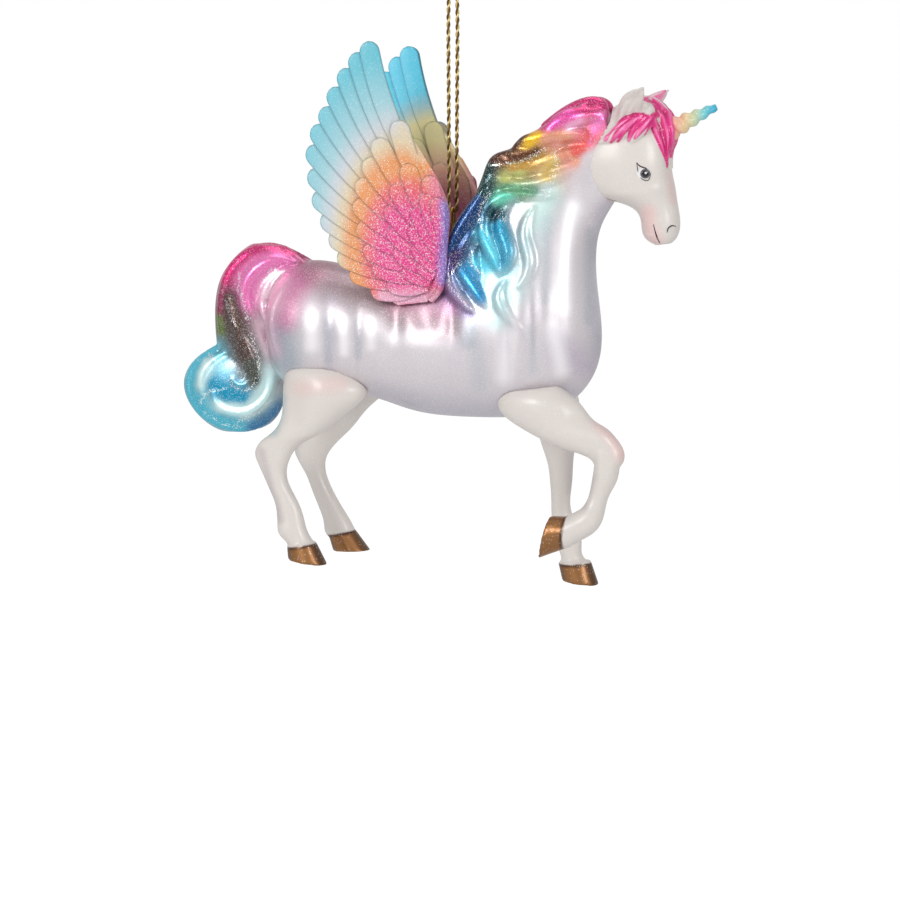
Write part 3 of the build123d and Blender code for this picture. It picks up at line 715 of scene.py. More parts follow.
# flakes: a random share of small cells, each with a pale tint
def glitterGroup():
    group = bpy.data.node_groups.new("glitterFlakes", "ShaderNodeTree")
    for name, way, kind in (("Scale", "INPUT", "Float"), ("Amount", "INPUT", "Float"),
                            ("Mask", "OUTPUT", "Float"), ("Tint", "OUTPUT", "Color")):
        group.interface.new_socket(name, in_out=way, socket_type="NodeSocket" + kind)
    inside = nodeIn(group, "NodeGroupInput")
    outside = nodeIn(group, "NodeGroupOutput")
    place = nodeIn(group, "ShaderNodeTexCoord")
    cells = nodeIn(group, "ShaderNodeTexVoronoi")
    split = nodeIn(group, "ShaderNodeSeparateColor")
    tint = nodeIn(group, "ShaderNodeValToRGB")
    rampStops(tint, flakeTints)
    link = group.links.new
    link(place.outputs["Object"], cells.inputs["Vector"])
    link(inside.outputs["Scale"], cells.inputs["Scale"])
    link(cells.outputs["Color"], split.inputs["Color"])
    spare = mathNode(group, "SUBTRACT", 1.0, inside.outputs["Amount"])
    chosen = mathNode(group, "GREATER_THAN", split.outputs["Red"], spare)
    centre = mathNode(group, "LESS_THAN", cells.outputs["Distance"], flakeRadius)
    link(mathNode(group, "MULTIPLY", chosen, centre), outside.inputs["Mask"])
    link(split.outputs["Green"], tint.inputs["Fac"])
    link(tint.outputs["Color"], outside.inputs["Tint"])
    return group


glitter = glitterGroup()


def glitterNode(tree, scale, amount):
    return fedNode(tree, "ShaderNodeGroup", {"Scale": scale, "Amount": amount}, node_tree=glitter)


def noiseNode(tree, scale, detail=2.0):
    place = nodeIn(tree, "ShaderNodeTexCoord").outputs["Object"]
    sockets = {"Scale": scale, "Detail": detail, "Vector": place}
    return fedNode(tree, "ShaderNodeTexNoise", sockets).outputs["Fac"]


def bumpNode(tree, height, strength, distance):
    sockets = {"Strength": strength, "Distance": distance, "Height": height}
    return fedNode(tree, "ShaderNodeBump", sockets).outputs["Normal"]


def spreadNode(tree, mask, low, high):
    sockets = {"To Min": low, "To Max": high, "Value": mask}
    return fedNode(tree, "ShaderNodeMapRange", sockets).outputs["Result"]


# paint, painted shade in the hollows, mottling, fine glitter and drawn glitter lines, over a grained surface
def paintedMaterial(name, settings):
    material, tree, shader = startMaterial(name, settings["metallic"], settings["roughness"])
    link = tree.links.new
    paint = attributeNode(tree, "paint").outputs["Color"]
    # painted shade: the paint is darkened towards a shade tone in the hollows
    hollow = mathNode(tree, "MULTIPLY", attributeNode(tree, "crevice").outputs["Fac"], settings["creviceShade"])
    colour = mixColour(tree, "MULTIPLY", hollow, paint, settings["creviceShadeTone"])
    mottle = noiseNode(tree, settings["mottleScale"], noiseDetails["mottle"])
    mottle = mathNode(tree, "MULTIPLY", mottle, settings["mottle"])
    colour = mixColour(tree, "MULTIPLY", mottle, colour, settings["mottleTone"])
    dust = mathNode(tree, "MULTIPLY", attributeNode(tree, "dust").outputs["Fac"], settings["dustAmount"])
    fine = glitterNode(tree, settings["dustScale"], dust)
    strength = mathNode(tree, "MULTIPLY", fine.outputs["Mask"], settings["dustStrength"])
    colour = mixColour(tree, "MIX", strength, colour, fine.outputs["Tint"])
    if "lineScale" in settings:
        line = mathNode(tree, "MULTIPLY", attributeNode(tree, "glitterLine").outputs["Fac"], lineFlakes)
        coarse = glitterNode(tree, settings["lineScale"], line)
        colour = mixColour(tree, "MIX", coarse.outputs["Mask"], colour, coarse.outputs["Tint"])
    link(colour, shader.inputs["Base Color"])
    grain = noiseNode(tree, settings["grainScale"], noiseDetails["grain"])
    grain = mathNode(tree, "ADD", fine.outputs["Mask"], grain)
    link(bumpNode(tree, grain, settings["grain"], grainHeight), shader.inputs["Normal"])
    if "glossTo" in settings:
        gloss = attributeNode(tree, "lacquer").outputs["Fac"]
        metal = spreadNode(tree, gloss, settings["metallic"], settings["metalTo"])
        link(metal, shader.inputs["Metallic"])
        link(spreadNode(tree, gloss, settings["roughness"], settings["glossTo"]), shader.inputs["Roughness"])
    shader.inputs["Coat Weight"].default_value = settings["coat"]
    shader.inputs["Coat Roughness"].default_value = settings["coatRoughness"]
    return material


# each finish gives the strength and tone of the painted shade in its hollows
glassFinish = {"metallic": 0.45, "metalTo": 0.75, "roughness": 0.38, "glossTo": 0.32, "creviceShade": 0.8,
               "creviceShadeTone": (0.42, 0.36, 0.42), "mottle": 0.25, "mottleScale": 90,
               "mottleTone": (0.8, 0.76, 0.82), "dustScale": 5600, "dustAmount": 0.4, "dustStrength": 0.5,
               "lineScale": 3600, "grain": 0.12, "grainScale": 900, "coat": 0.35, "coatRoughness": 0.12}
resinFinish = {"metallic": 0.0, "roughness": 0.42, "creviceShade": 0.7, "creviceShadeTone": (0.62, 0.52, 0.52),
               "mottle": 0.3, "mottleScale": 160, "mottleTone": (0.9, 0.82, 0.84), "dustScale": 3600,
               "dustAmount": 0.16, "dustStrength": 0.35, "grain": 0.1, "grainScale": 1400, "coat": 0.4,
               "coatRoughness": 0.22}
wingFinish = {"metallic": 0.0, "roughness": 0.42, "creviceShade": 0.9, "creviceShadeTone": (0.45, 0.4, 0.46),
              "mottle": 0.55, "mottleScale": 1300, "mottleTone": (0.82, 0.8, 0.86), "dustScale": 5600,
              "dustAmount": 0.45, "dustStrength": 0.5, "lineScale": 4600, "grain": 0.2, "grainScale": 1600,
              "coat": 0.1, "coatRoughness": 0.3}


def paintGlass():
    pixels = toPhoto(vertices(glass))
    colours = blendStrokes(pixels, lacquer, glassStrokes, glassSettings["power"])
    storeColour(glass, layTints(colours, pixels, lacquer, glassTints))
    storeMask(glass, "lacquer", sprayMask(pixels, lacquerStrokes))
    storeMask(glass, "glitterLine", sprayMask(pixels, glitterLines))
    storeMask(glass, "dust", glassSettings["dust"])
    glass.data.materials.append(paintedMaterial("lacquered_glass", glassFinish))


paintGlass()


# wings
# the rim strength and tone set the painted shadow along the feathers' edges
wingSettings = {"lean": 0.0489, "rootY": -11.6, "rootZ": -20.0, "along": 30, "across": 12,
                "thickness": 0.45, "crown": 0.16, "tilt": 0.13, "rim": 0.34, "shrink": 0.32, "pixel": 0.25,
                "voxel": 0.4 * mm, "smooth": 0.5, "turns": 4, "taper": 1.5, "full": 0.7, "smoothAngle": 50,
                "rimShade": 0.7, "rimShadeTone": (0.2, 0.27, 0.3), "edgeSpare": 1.5, "widen": 3, "armLift": 0.2,
                "tipWidth": 0.0004, "faceBlend": 0.6, "placeTurns": 3}
# the leading edge in the photograph, from the top down
frontEdge = [(372, 43), (377, 53), (386, 84), (400, 119), (416, 141), (429, 162), (440, 180), (446, 203),
             (447, 219), (444, 244), (443, 271), (440, 286), (429, 301)]
flightTips = [(368, 42), (356, 53), (344, 69), (333, 88), (324, 108), (315, 126), (310, 147), (311, 171),
              (315, 194), (323, 216), (331, 235), (339, 254), (351, 271), (372, 288)]
covertTips = [(398, 121), (377, 139), (367, 159), (359, 180), (356, 201), (359, 224), (365, 246),
              (374, 264), (388, 281)]
middleTips = [(430, 176), (407, 164), (395, 184), (388, 206), (390, 228), (396, 248), (405, 266)]
innerTips = [(438, 198), (426, 194), (416, 208), (412, 226), (415, 244), (421, 262)]
featherRows = [
    {"tips": flightTips, "roots": ((436, 200), (424, 288)), "width": 5.0, "first": 4.6, "bend": 0.13,
     "lift": 0.22, "rootWidth": 0.5},
    {"tips": covertTips, "roots": ((438, 208), (428, 286)), "width": 5.1, "first": 4.8, "bend": 0.13,
     "lift": 0.95, "rootWidth": 0.5},
    {"tips": middleTips, "roots": ((441, 222), (431, 282)), "width": 4.6, "first": 4.4, "bend": 0.10,
     "lift": 1.35, "rootWidth": 0.55},
    {"tips": innerTips, "roots": ((442, 236), (434, 278)), "width": 3.8, "first": 3.6, "bend": 0.08,
     "lift": 1.7, "rootWidth": 0.6},
]
wingArm = [(430, 300, 1.0), (439, 288, 1.7), (441, 270, 1.8), (440, 250, 1.8), (442, 230, 1.8),
           (444, 214, 1.7), (440, 198, 1.5), (432, 180, 1.3), (422, 162, 1.1), (410, 142, 0.8),
           (402, 126, 0.4)]
wingTones = {
    "cyan": (104, 194, 210), "ice": (160, 206, 214), "pale": (204, 210, 214), "cream": (222, 204, 168),
    "orange": (232, 150, 84), "coral": (230, 100, 100), "hotPink": (226, 50, 136),
    "violet": (132, 116, 206), "blush": (232, 172, 200), "pink": (226, 116, 160), "olive": (252, 240, 176),
    "umber": (238, 176, 150), "wine": (196, 104, 132), "bright": (92, 212, 240),
}
# distance from the wing's pink middle, in shares of its half sizes, against the paint there
wingRings = {"centre": (404, 250), "half": (70, 116), "front": 0.6, "dust": (0.25, 0.55, 1.5),
             "glitter": (0.24, 1.3, 1.15)}
outerRings = [(0.0, "hotPink"), (0.34, "hotPink"), (0.56, "coral"), (0.68, "orange"), (0.78, "orange"),
              (0.94, "cream"), (1.1, "pale"), (1.3, "ice"), (1.7, "cyan"), (2.5, "cyan")]
innerRings = [(0.0, "wine"), (0.45, "wine"), (0.68, "umber"), (0.95, "olive"), (1.14, "olive"),
              (1.28, "ice"), (1.42, "bright"), (2.5, "bright")]
wingSpots = [
    ("pink", [(436, 178), (440, 196)], 15, 0.7),
    ("violet", [(446, 206), (448, 228), (445, 256), (444, 280)], 13, 0.95),
    ("blush", [(384, 298), (412, 299), (444, 300)], 15, 0.85), ("cream", [(402, 128), (420, 156)], 12, 0.6),
]


# how far the wing's plane leans outward at a height, in mm
def wingLean(z):
    return ((z - eye.z) / mm - wingSettings["rootZ"]) * wingSettings["lean"]


def wingPlace(px, py, lift):
    y = wingSettings["rootY"] * mm
    for step in range(wingSettings["placeTurns"]):
        place = photoPlane(px, py, y)
        y = (wingSettings["rootY"] - lift - wingLean(place.z)) * mm
    return photoPlane(px, py, y)


def featherBlank():
    bpy.ops.mesh.primitive_grid_add(x_subdivisions=wingSettings["across"],
                                    y_subdivisions=wingSettings["along"], size=2)
    blank = bpy.context.object
    blank.name = "featherBlank"
    return blank


# bends a copy of the blank from root to tip, with a crown, a rounded end and one raised edge
def bendFeather(blank, root, tip, row, width, face):
    piece = newPiece("feather", blank.data.copy())
    flat = vertices(piece)
    k = np.sin(flat[:, 0] * math.pi / 2)
    share = 1 - (1 - (flat[:, 1] + 1) / 2) ** wingSettings["taper"]
    root, tip = np.array(root), np.array(tip)
    run = tip - root
    length = np.linalg.norm(run)
    outward = np.array((0.0, -1.0, 0.0))
    rear = np.cross(outward, run) / length
    control = root + run * 0.5 + rear * row["bend"] * length
    s = share[:, None]
    centre = root * (1 - s) ** 2 + control * 2 * s * (1 - s) + tip * s ** 2
    along = (control - root) * (1 - s) + (tip - control) * s
    along /= np.linalg.norm(along, axis=1)[:, None]
    sideways = np.cross(outward, along)
    roundStart = 1 - width / 2 / length
    widening = np.sin(np.minimum(share / wingSettings["full"], 1) * math.pi / 2)
    body = row["rootWidth"] + (1 - row["rootWidth"]) * widening
    ending = np.sqrt(np.clip(1 - (np.maximum(share - roundStart, 0) / (1 - roundStart)) ** 2,
                             wingSettings["tipWidth"], 1))
    half = width / 2 * body * ending
    depth = wingSettings["crown"] * mm * (1 - k * k) * ending + wingSettings["tilt"] * half * k
    setVertices(piece, centre + sideways * (half * k)[:, None] + outward * face * depth[:, None])
    # rim is 1 at the feather's edge and tip, where its painted shadow is darkest
    edge = np.minimum(half * (1 - np.abs(k)), (1 - share) * length)
    storeMask(piece, "rim", 1 - edge / (wingSettings["rim"] * mm))
    return piece


# a thinned copy of the cast wing, its rows of feathers on both faces and the arm along its front edge
def makeWing():
    base = copyNode("right_wing", "wingBase")
    voxelSkin(base, wingSettings)
    places = vertices(base) - vertexNormals(base) * wingSettings["shrink"] * mm
    pixels = toPhoto(places)
    front = np.interp(pixels[:, 1], [place[1] for place in frontEdge], [place[0] for place in frontEdge])
    over = np.maximum(pixels[:, 0] - front + wingSettings["edgeSpare"], 0)
    places[:, 0] -= over * wingSettings["pixel"] * mm
    setVertices(base, places)
    storeMask(base, "rim", 0)
    blank = featherBlank()
    feathers = []
    for face, rows in ((1, featherRows), (-1, featherRows[:-1])):
        for row in rows:
            last = len(row["tips"]) - 1
            for index, tip in enumerate(row["tips"]):
                share = index / last
                (x0, y0), (x1, y1) = row["roots"]
                lift = row["lift"] if face > 0 else -row["lift"]
                root = wingPlace(x0 + (x1 - x0) * share, y0 + (y1 - y0) * share, lift)
                grown = min(share * wingSettings["widen"], 1)
                width = (row["first"] + (row["width"] - row["first"]) * grown) * mm
                feathers.append(bendFeather(blank, root, wingPlace(*tip, lift), row, width, face))
                if face < 0:
                    feathers[-1].data.flip_normals()
    bpy.data.objects.remove(blank)
    wing = joinPieces(feathers, "right_feathered_wing")
    arm = tube("wingArm", [wingPlace(px, py, wingSettings["armLift"]) for px, py, radius in wingArm],
               [radius * mm for px, py, radius in wingArm])
    storeMask(arm, "rim", 0)
    shell = wing.modifiers.new("thickness", "SOLIDIFY")
    shell.thickness = wingSettings["thickness"] * mm
    shell.offset = -1
    applyAll(wing)
    pick(wing)
    bpy.ops.object.shade_smooth_by_angle(angle=math.radians(wingSettings["smoothAngle"]))
    return joinPieces([wing, base, arm], "right_feathered_wing")


def mirrorPiece(piece, name):
    other = newPiece(name, piece.data.copy())
    other.data.transform(Matrix.Scale(-1, 4, (0, 1, 0)))
    other.data.flip_normals()
    return other


def paintWing(wing, side):
    places = vertices(wing)
    pixels = toPhoto(places)
    away = (pixels - wingRings["centre"]) / wingRings["half"]
    away[:, 0] *= np.where(away[:, 0] > 0, wingRings["front"], 1)
    reach = np.hypot(away[:, 0], away[:, 1])
    outer, inner = [rampColours(reach, [(place, wingTones[name]) for place, name in rings])
                    for rings in (outerRings, innerRings)]
    outer = layTints(outer, pixels, wingTones, wingSpots)
    plane = -wingSettings["rootY"] + wingLean(places[:, 2])
    facing = softStep((places[:, 1] * side / mm - plane) / wingSettings["faceBlend"] + 0.5)[:, None]
    storeColour(wing, outer * facing + inner * (1 - facing))
    least, more, end = wingRings["dust"]
    storeMask(wing, "dust", least + more * softStep(end - reach))
    most, end, fade = wingRings["glitter"]
    storeMask(wing, "glitterLine", most * softStep(end - reach * fade) * facing[:, 0])


# painted shadow along each feather's edge, where it lies over the next feather
def wingMaterial():
    material = paintedMaterial("feathered_wing", wingFinish)
    tree = material.node_tree
    shader = tree.nodes["Principled BSDF"]
    painted = shader.inputs["Base Color"].links[0].from_socket
    rim = mathNode(tree, "MULTIPLY", attributeNode(tree, "rim").outputs["Fac"], wingSettings["rimShade"])
    tree.links.new(mixColour(tree, "MULTIPLY", rim, painted, wingSettings["rimShadeTone"]),
                   shader.inputs["Base Color"])
    return material


def finishWings():
    right = makeWing()
    left = mirrorPiece(right, "left_feathered_wing")
    material = wingMaterial()
    for wing, node, side in ((right, "right_wing", -1), (left, "left_wing", 1)):
        paintWing(wing, side)
        wing.data.materials.clear()
        wing.data.materials.append(material)
        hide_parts(node)
        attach(wing, "figure")
    print("wings", len(right.data.polygons), "faces each")


finishWings()


# legs
# the last two entries set the hoof's painted shade, near its top and on its sides
legSettings = {"voxel": 0.38 * mm, "smooth": 0.5, "turns": 4, "crevices": (5, 4000), "raisedHoofTop": -70.6,
               "dust": 0.5, "hoofBlend": 0.5, "raisedBlend": 0.4, "rimEnd": (1.4, 0.7),
               "sideShade": (0.4, 0.45, 0.85)}
legFinish = dict(resinFinish, metalTo=0.85, glossTo=0.38)
# cast resin tones; the dark brown and the grey are painted shade on the hooves and along the legs
resin = {"cream": (220, 214, 208), "blush": (230, 184, 182), "bronze": (150, 104, 60),
         "hoofShadeBrown": (74, 48, 32), "teal": (150, 186, 190), "shadeGrey": (190, 182, 184)}
# where each hoof begins: x and height under the wire in mm, at its back and its front
hoofLines = {"right_hind_leg": ((-38.8, -82.4), (-32.2, -81.3)),
             "left_hind_leg": ((-35.6, -82.4), (-29.4, -81.1)),
             "left_fore_leg": ((25.6, -86.0), (33.2, -85.5)),
             "right_fore_leg": ((31.5, -71.5), (30.9, -79.2))}
# swellings and hollows, then airbrushed tints and grey strips of painted shade along the legs' edges, all in
# the photograph's frame
legSwells = [
    (262, 438, 9, 9, 0.5), (268, 462, 5, 22, -0.25), (280, 532, 9, 8, 0.5), (276, 506, 4, 20, -0.22),
    (318, 402, 16, 26, 0.5), (296, 420, 8, 20, -0.3), (604, 432, 12, 11, 0.6), (588, 470, 5, 22, -0.25),
    (600, 468, 4, 24, 0.25), (545, 402, 22, 14, 0.4), (572, 418, 9, 12, -0.3), (590, 508, 7, 8, 0.4),
    (536, 560, 8, 6, 0.4),
]
legTints = [
    ("teal", [(281, 398), (279, 414), (273, 432)], 9, 0.6),
    ("blush", [(600, 424), (616, 440), (622, 456)], 14, 0.5), ("blush", [(300, 388), (340, 384)], 16, 0.35),
    # the grey strips are painted shade along the legs' edges
    ("shadeGrey", [(262, 452), (270, 484), (280, 520)], 7, 0.6), ("shadeGrey", [(556, 450), (556, 500)], 7, 0.5),
    ("shadeGrey", [(592, 478), (584, 508)], 6, 0.5),
]


def resinColours(places):
    return np.tile(np.array(tone(*resin["cream"])), (len(places), 1))


def hoofMask(node, places):
    (backX, backZ), (frontX, frontZ) = hoofLines[node]
    x, z = places[:, 0], places[:, 2] - eye.z / mm
    across = (x - backX) * (frontZ - backZ) - (z - backZ) * (frontX - backX)
    reach = across / math.hypot(frontX - backX, frontZ - backZ)
    hoof = softStep(reach / legSettings["hoofBlend"] + 0.5)
    if node == "right_fore_leg":
        hoof = hoof * softStep((legSettings["raisedHoofTop"] - z) / legSettings["raisedBlend"])
    return reach, hoof


def makeLegs():
    material = paintedMaterial("pearl_resin", legFinish)
    for node in hoofLines:
        leg = copyNode(node, node.replace("_leg", "") + "_cast_leg")
        voxelSkin(leg, legSettings)
        swellSurface(leg, legSwells)
        creviceMask(leg, *legSettings["crevices"])
        places = vertices(leg)
        reach, hoof = hoofMask(node, places / mm)
        # painted shade on the hoof in dark brown, near its top and where it turns sideways
        start, fade, strength = legSettings["sideShade"]
        side = softStep((np.abs(vertexNormals(leg)[:, 0]) - start) / fade)
        end, fade = legSettings["rimEnd"]
        rim = hoof * np.maximum(softStep(end - reach / fade), strength * side)
        colours = layTints(resinColours(places), toPhoto(places), resin, legTints)
        colours = layColour(colours, resin["bronze"], hoof)
        storeColour(leg, layColour(colours, resin["hoofShadeBrown"], rim))
        storeMask(leg, "lacquer", hoof)
        storeMask(leg, "dust", legSettings["dust"])
        leg.data.materials.append(material)
        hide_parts(node)
        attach(leg, "figure")
    print("legs", len(hoofLines))


makeLegs()


# head, ears and forelock
headSettings = {"voxel": 0.23 * mm, "smooth": 0.5, "turns": 2, "crevices": (4, 5200), "dust": 0.6,
                "hairDust": 0.35}
# the forelock's pink, its painted shade and painted highlight tones, and the gains of both
hairSettings = {"grow": 1.12, "spare": 0.1 * mm, "blend": 0.25 * mm, "pink": (222, 26, 126),
                "shadow": (178, 12, 96), "light": (255, 150, 205), "hollow": (3, 0.9),
                "ridge": (3, 0.2, 0.85)}
headFinish = dict(resinFinish, metalTo=0.1, glossTo=0.3)
# the ears' pink inside, from a height that is counted in steps of 3 mm over the wire's eye
earInside = {"tone": (232, 60, 150), "from": 7.8, "step": 3, "strength": 0.9, "facing": (3, 0.9)}
blushes = [([(648, 212), (650, 228), (656, 240)], 14, 0.6), ([(670, 176), (674, 200)], 9, 0.35)]
foreLocks = [
    [(648, 108, 0.6), (637, 115, 0.9), (624, 121, 0.9), (613, 130, 0.8), (608, 140, 0.3)],
    [(650, 110, 0.6), (638, 118, 0.8), (627, 125, 0.8), (618, 133, 0.7), (613, 142, 0.25)],
    [(649, 110, 0.6), (638, 117, 0.8), (629, 124, 0.8), (622, 133, 0.6), (619, 141, 0.25)],
    [(650, 112, 0.6), (641, 120, 0.8), (633, 128, 0.8), (629, 140, 0.3)],
    [(652, 115, 0.6), (646, 123, 0.8), (640, 131, 0.6), (635, 138, 0.25)],
    [(654, 118, 0.6), (650, 126, 0.6), (645, 134, 0.25)],
    [(640, 99, 0.5), (648, 99, 0.9), (657, 104, 1.0), (664, 112, 1.0), (669, 124, 0.9), (674, 138, 0.9),
     (677, 151, 0.8), (674, 163, 0.3)],
    [(641, 101, 0.5), (650, 104, 0.9), (658, 111, 0.9), (665, 123, 0.8), (670, 138, 0.8), (674, 152, 0.7),
     (671, 166, 0.25)],
    [(643, 104, 0.5), (651, 109, 0.8), (658, 119, 0.8), (663, 132, 0.8), (667, 146, 0.7), (671, 158, 0.4),
     (669, 167, 0.2)],
    [(646, 108, 0.5), (652, 116, 0.8), (656, 128, 0.7), (660, 141, 0.7), (665, 153, 0.5), (669, 163, 0.2)],
    [(649, 111, 0.5), (653, 122, 0.7), (656, 134, 0.6), (661, 146, 0.5), (666, 157, 0.2)],
    [(658, 107, 0.5), (666, 112, 0.9), (672, 122, 1.0), (678, 134, 1.0), (682, 146, 0.9), (679, 155, 0.6),
     (674, 161, 0.25)],
    [(661, 107, 0.5), (669, 113, 0.9), (676, 123, 1.0), (682, 135, 1.0), (685, 146, 0.9), (682, 154, 0.6),
     (677, 158, 0.25)],
]
# ear rims and hollow: depth of the tube behind the ear's face, its photo places and its radius, in mm
earTubes = [
    (0.0, [(618, 131, 1.1), (619, 117, 1.3), (624, 105, 1.3), (633, 95, 1.1), (643, 88, 0.35)]),
    (1.0, [(622, 128, 1.4), (626, 115, 1.9), (632, 104, 1.7), (638, 96, 1.2), (643, 89, 0.3)]),
    (0.2, [(632, 122, 0.9), (637, 111, 1.1), (640, 101, 1.0), (643, 91, 0.35)]),
]
earLean = (4.4, 12.0)
# base and height in pixels, the others in mm, two of them from the middle
earSpread = {"base": 118, "height": 30, "out": 6.0, "from": 2.5, "over": 1.5}
headPulls = [(590, 162, 22, 34, -2.2, 0.0), (603, 111, 14, 18, 1.8, 0.0), (684, 156, 13, 23, -2.8, 0.0)]
seamLine = [(607, 124), (600, 132), (593, 143), (590, 156), (590, 170), (594, 183), (601, 195), (609, 202),
            (616, 204)]
eyePlace = (644.6, 173.4)
inkLines = [
    ([(636.5, 162.5), (639, 166), (643, 167.2), (647.5, 169.2), (650.5, 174)], 0.16),
    ([(636.5, 162.5), (637.4, 168), (638.6, 174), (641.5, 179), (646.5, 181.2), (650, 179), (650.5, 174)],
     0.1), ([(653.5, 224.4), (655.5, 232.5), (657.5, 238.5), (660, 243)], 0.17),
    ([(667, 232.5), (667.4, 229.6), (668.9, 227.2), (672.7, 225), (675.6, 226.6)], 0.16),
]


# leans the ears outward along the camera's rays, so that the near one keeps its outline
def spreadEars(head):
    places = vertices(head)
    near = places.copy()
    near[:, 1] = -np.abs(near[:, 1])
    raised = np.clip((earSpread["base"] - toPhoto(places)[:, 1]) / earSpread["height"], 0, 1)
    beside = softStep((np.abs(places[:, 1]) / mm - earSpread["from"]) / earSpread["over"])
    toCamera = np.array(cameraPlace) - near
    near += toCamera / np.abs(toCamera[:, 1:2]) * (raised * beside * earSpread["out"] * mm)[:, None]
    near[:, 1] *= -np.sign(places[:, 1])
    setVertices(head, near)


def makeEars():
    ears = []
    for depth, lock in earTubes:
        leans = np.linspace(*earLean, len(lock)) - depth * np.linspace(1, 0, len(lock))
        points = [photoPlane(px, py, -lean * mm) for lean, (px, py, radius) in zip(leans, lock)]
        for side in (1, -1):
            ears.append(tube("ear", [(point.x, point.y * side, point.z) for point in points],
                             [radius * mm for px, py, radius in lock]))
    return ears


# the forelock's centre lines on both sides, with the radius at each place
def hairLines(tree):
    lines = []
    for lock in foreLocks:
        hits = [(photoHit(tree, px, py)[0], radius * mm) for px, py, radius in lock]
        lines += [[(place.x, place.y * side, place.z, radius) for place, radius in hits] for side in (1, -1)]
    return lines


def hairMask(places, lines):
    hair = np.zeros(len(places))
    for line in lines:
        for start, end in zip(line[:-1], line[1:]):
            a, b = np.array(start[:3]), np.array(end[:3])
            run = b - a
            share = np.clip(((places - a) @ run) / max(run @ run, 1e-12), 0, 1)
            away = np.linalg.norm(places - a - share[:, None] * run, axis=1)
            radius = (start[3] + (end[3] - start[3]) * share) * hairSettings["grow"] + hairSettings["spare"]
            hair = np.maximum(hair, softStep((radius - away) / hairSettings["blend"] + 0.5))
    return hair


def paintHead(head, hair):
    places = vertices(head)
    colours = layColour(resinColours(places), resin["blush"], sprayMask(toPhoto(places), blushes))
    gain, start = earInside["facing"]
    inward = softStep(-np.sign(places[:, 1]) * vertexNormals(head)[:, 1] * gain - start)
    inside = softStep((places[:, 2] - eye.z) / mm / earInside["step"] - earInside["from"]) * inward
    colours = layColour(colours, earInside["tone"], inside * earInside["strength"])
    colours = layColour(colours, hairSettings["pink"], hair)
    # painted shade in the forelock's hollows and painted highlights on its ridges
    gain, most = hairSettings["hollow"]
    shadow = np.clip(readMask(head, "crevice") * gain, 0, most)
    colours = layColour(colours, hairSettings["shadow"], hair * shadow)
    gain, start, most = hairSettings["ridge"]
    light = np.clip(readMask(head, "ridge") * gain - start, 0, most)
    storeColour(head, layColour(colours, hairSettings["light"], hair * light))
    storeMask(head, "lacquer", hair)
    storeMask(head, "dust", headSettings["dust"] - headSettings["hairDust"] * hair)
    head.data.materials.append(paintedMaterial("pearl_head", headFinish))


def makeHead():
    head = copyNode("head", "cast_head")
    tree = surfaceTree(head)
    spreadEars(head)
    forelock = lockTubes(tree, foreLocks, "forelock", 0.0)
    head = joinPieces([head] + forelock + makeEars(), "cast_head")
    voxelSkin(head, headSettings)
    hair = hairMask(vertices(head), hairLines(tree))
    setVertices(head, pulled(vertices(head), headPulls))
    creviceMask(head, *headSettings["crevices"])
    paintHead(head, hair)
    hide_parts("head")
    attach(head, "figure")
    print("head", len(head.data.vertices), "vertices")
    return head


# eyes, ink and seam lines
plainGrain = {"scale": 2500, "strength": 0.3, "tone": (0.7, 0.7, 0.7)}


def plainMaterial(name, colour, metallic, roughness):
    material, tree, shader = startMaterial(name, metallic, roughness)
    shade = mathNode(tree, "MULTIPLY", noiseNode(tree, plainGrain["scale"]), plainGrain["strength"])
    grained = mixColour(tree, "MULTIPLY", shade, tone(*colour), plainGrain["tone"])
    tree.links.new(grained, shader.inputs["Base Color"])
    return material


# material tones with metallic and roughness
faceInks = {"grey_ink": ((48, 44, 50), 0.0, 0.4), "eye_white": ((236, 234, 236), 0.0, 0.25),
            "eye_dark": ((24, 22, 28), 0.0, 0.15), "eye_ring": ((96, 92, 100), 0.0, 0.3),
            "seam_line": ((168, 138, 92), 0.2, 0.4)}
# part of the eye: radius, depth as a share of it, shift along x and z, ink and lift, in mm
eyeParts = [("eye_white", 1.42, 0.22, (-0.4, 0.0), "eye_white", 0.0),
            ("eye_iris", 1.16, 0.26, (0.14, -0.05), "eye_ring", 0.12),
            ("eye_pupil", 0.82, 0.24, (0.14, -0.05), "eye_dark", 0.3),
            # the last part is a painted highlight, a white dot on the eye
            ("eye_highlight", 0.27, 0.3, (0.2, 0.12), "eye_white", 0.5)]
seamRadius = 0.13
inkSettings = {"lift": 0.25, "taper": 0.45}
eyeSettings = {"segments": 32, "rings": 16, "height": 0.94}


def inkStroke(tree, line, radius, side, name, material):
    points = []
    for px, py in line:
        place, normal = photoHit(tree, px, py)
        place = place + normal * radius * inkSettings["lift"] * mm
        points.append(Vector((place.x, place.y * side, place.z)))
    radii = [radius * mm] * len(points)
    radii[0] = radii[-1] = radius * mm * inkSettings["taper"]
    stroke = tube(name, points, radii, order=3)
    stroke.data.materials.append(material)
    return stroke


def eyePart(centre, outward, name, radius, depth, shift, material, lift):
    bpy.ops.mesh.primitive_uv_sphere_add(segments=eyeSettings["segments"], ring_count=eyeSettings["rings"],
                                         radius=radius * mm, location=(0, 0, 0))
    ball = bpy.context.object
    ball.name = name
    ball.data.transform(Matrix.Diagonal((1, eyeSettings["height"], depth, 1)))
    turn = outward.to_track_quat("Z", "Y").to_matrix().to_4x4()
    nudge = Vector((shift[0], 0, shift[1])) * mm
    ball.data.transform(Matrix.Translation(centre + outward * lift * mm + nudge) @ turn)
    bpy.ops.object.shade_smooth()
    ball.data.materials.append(material)
    return ball


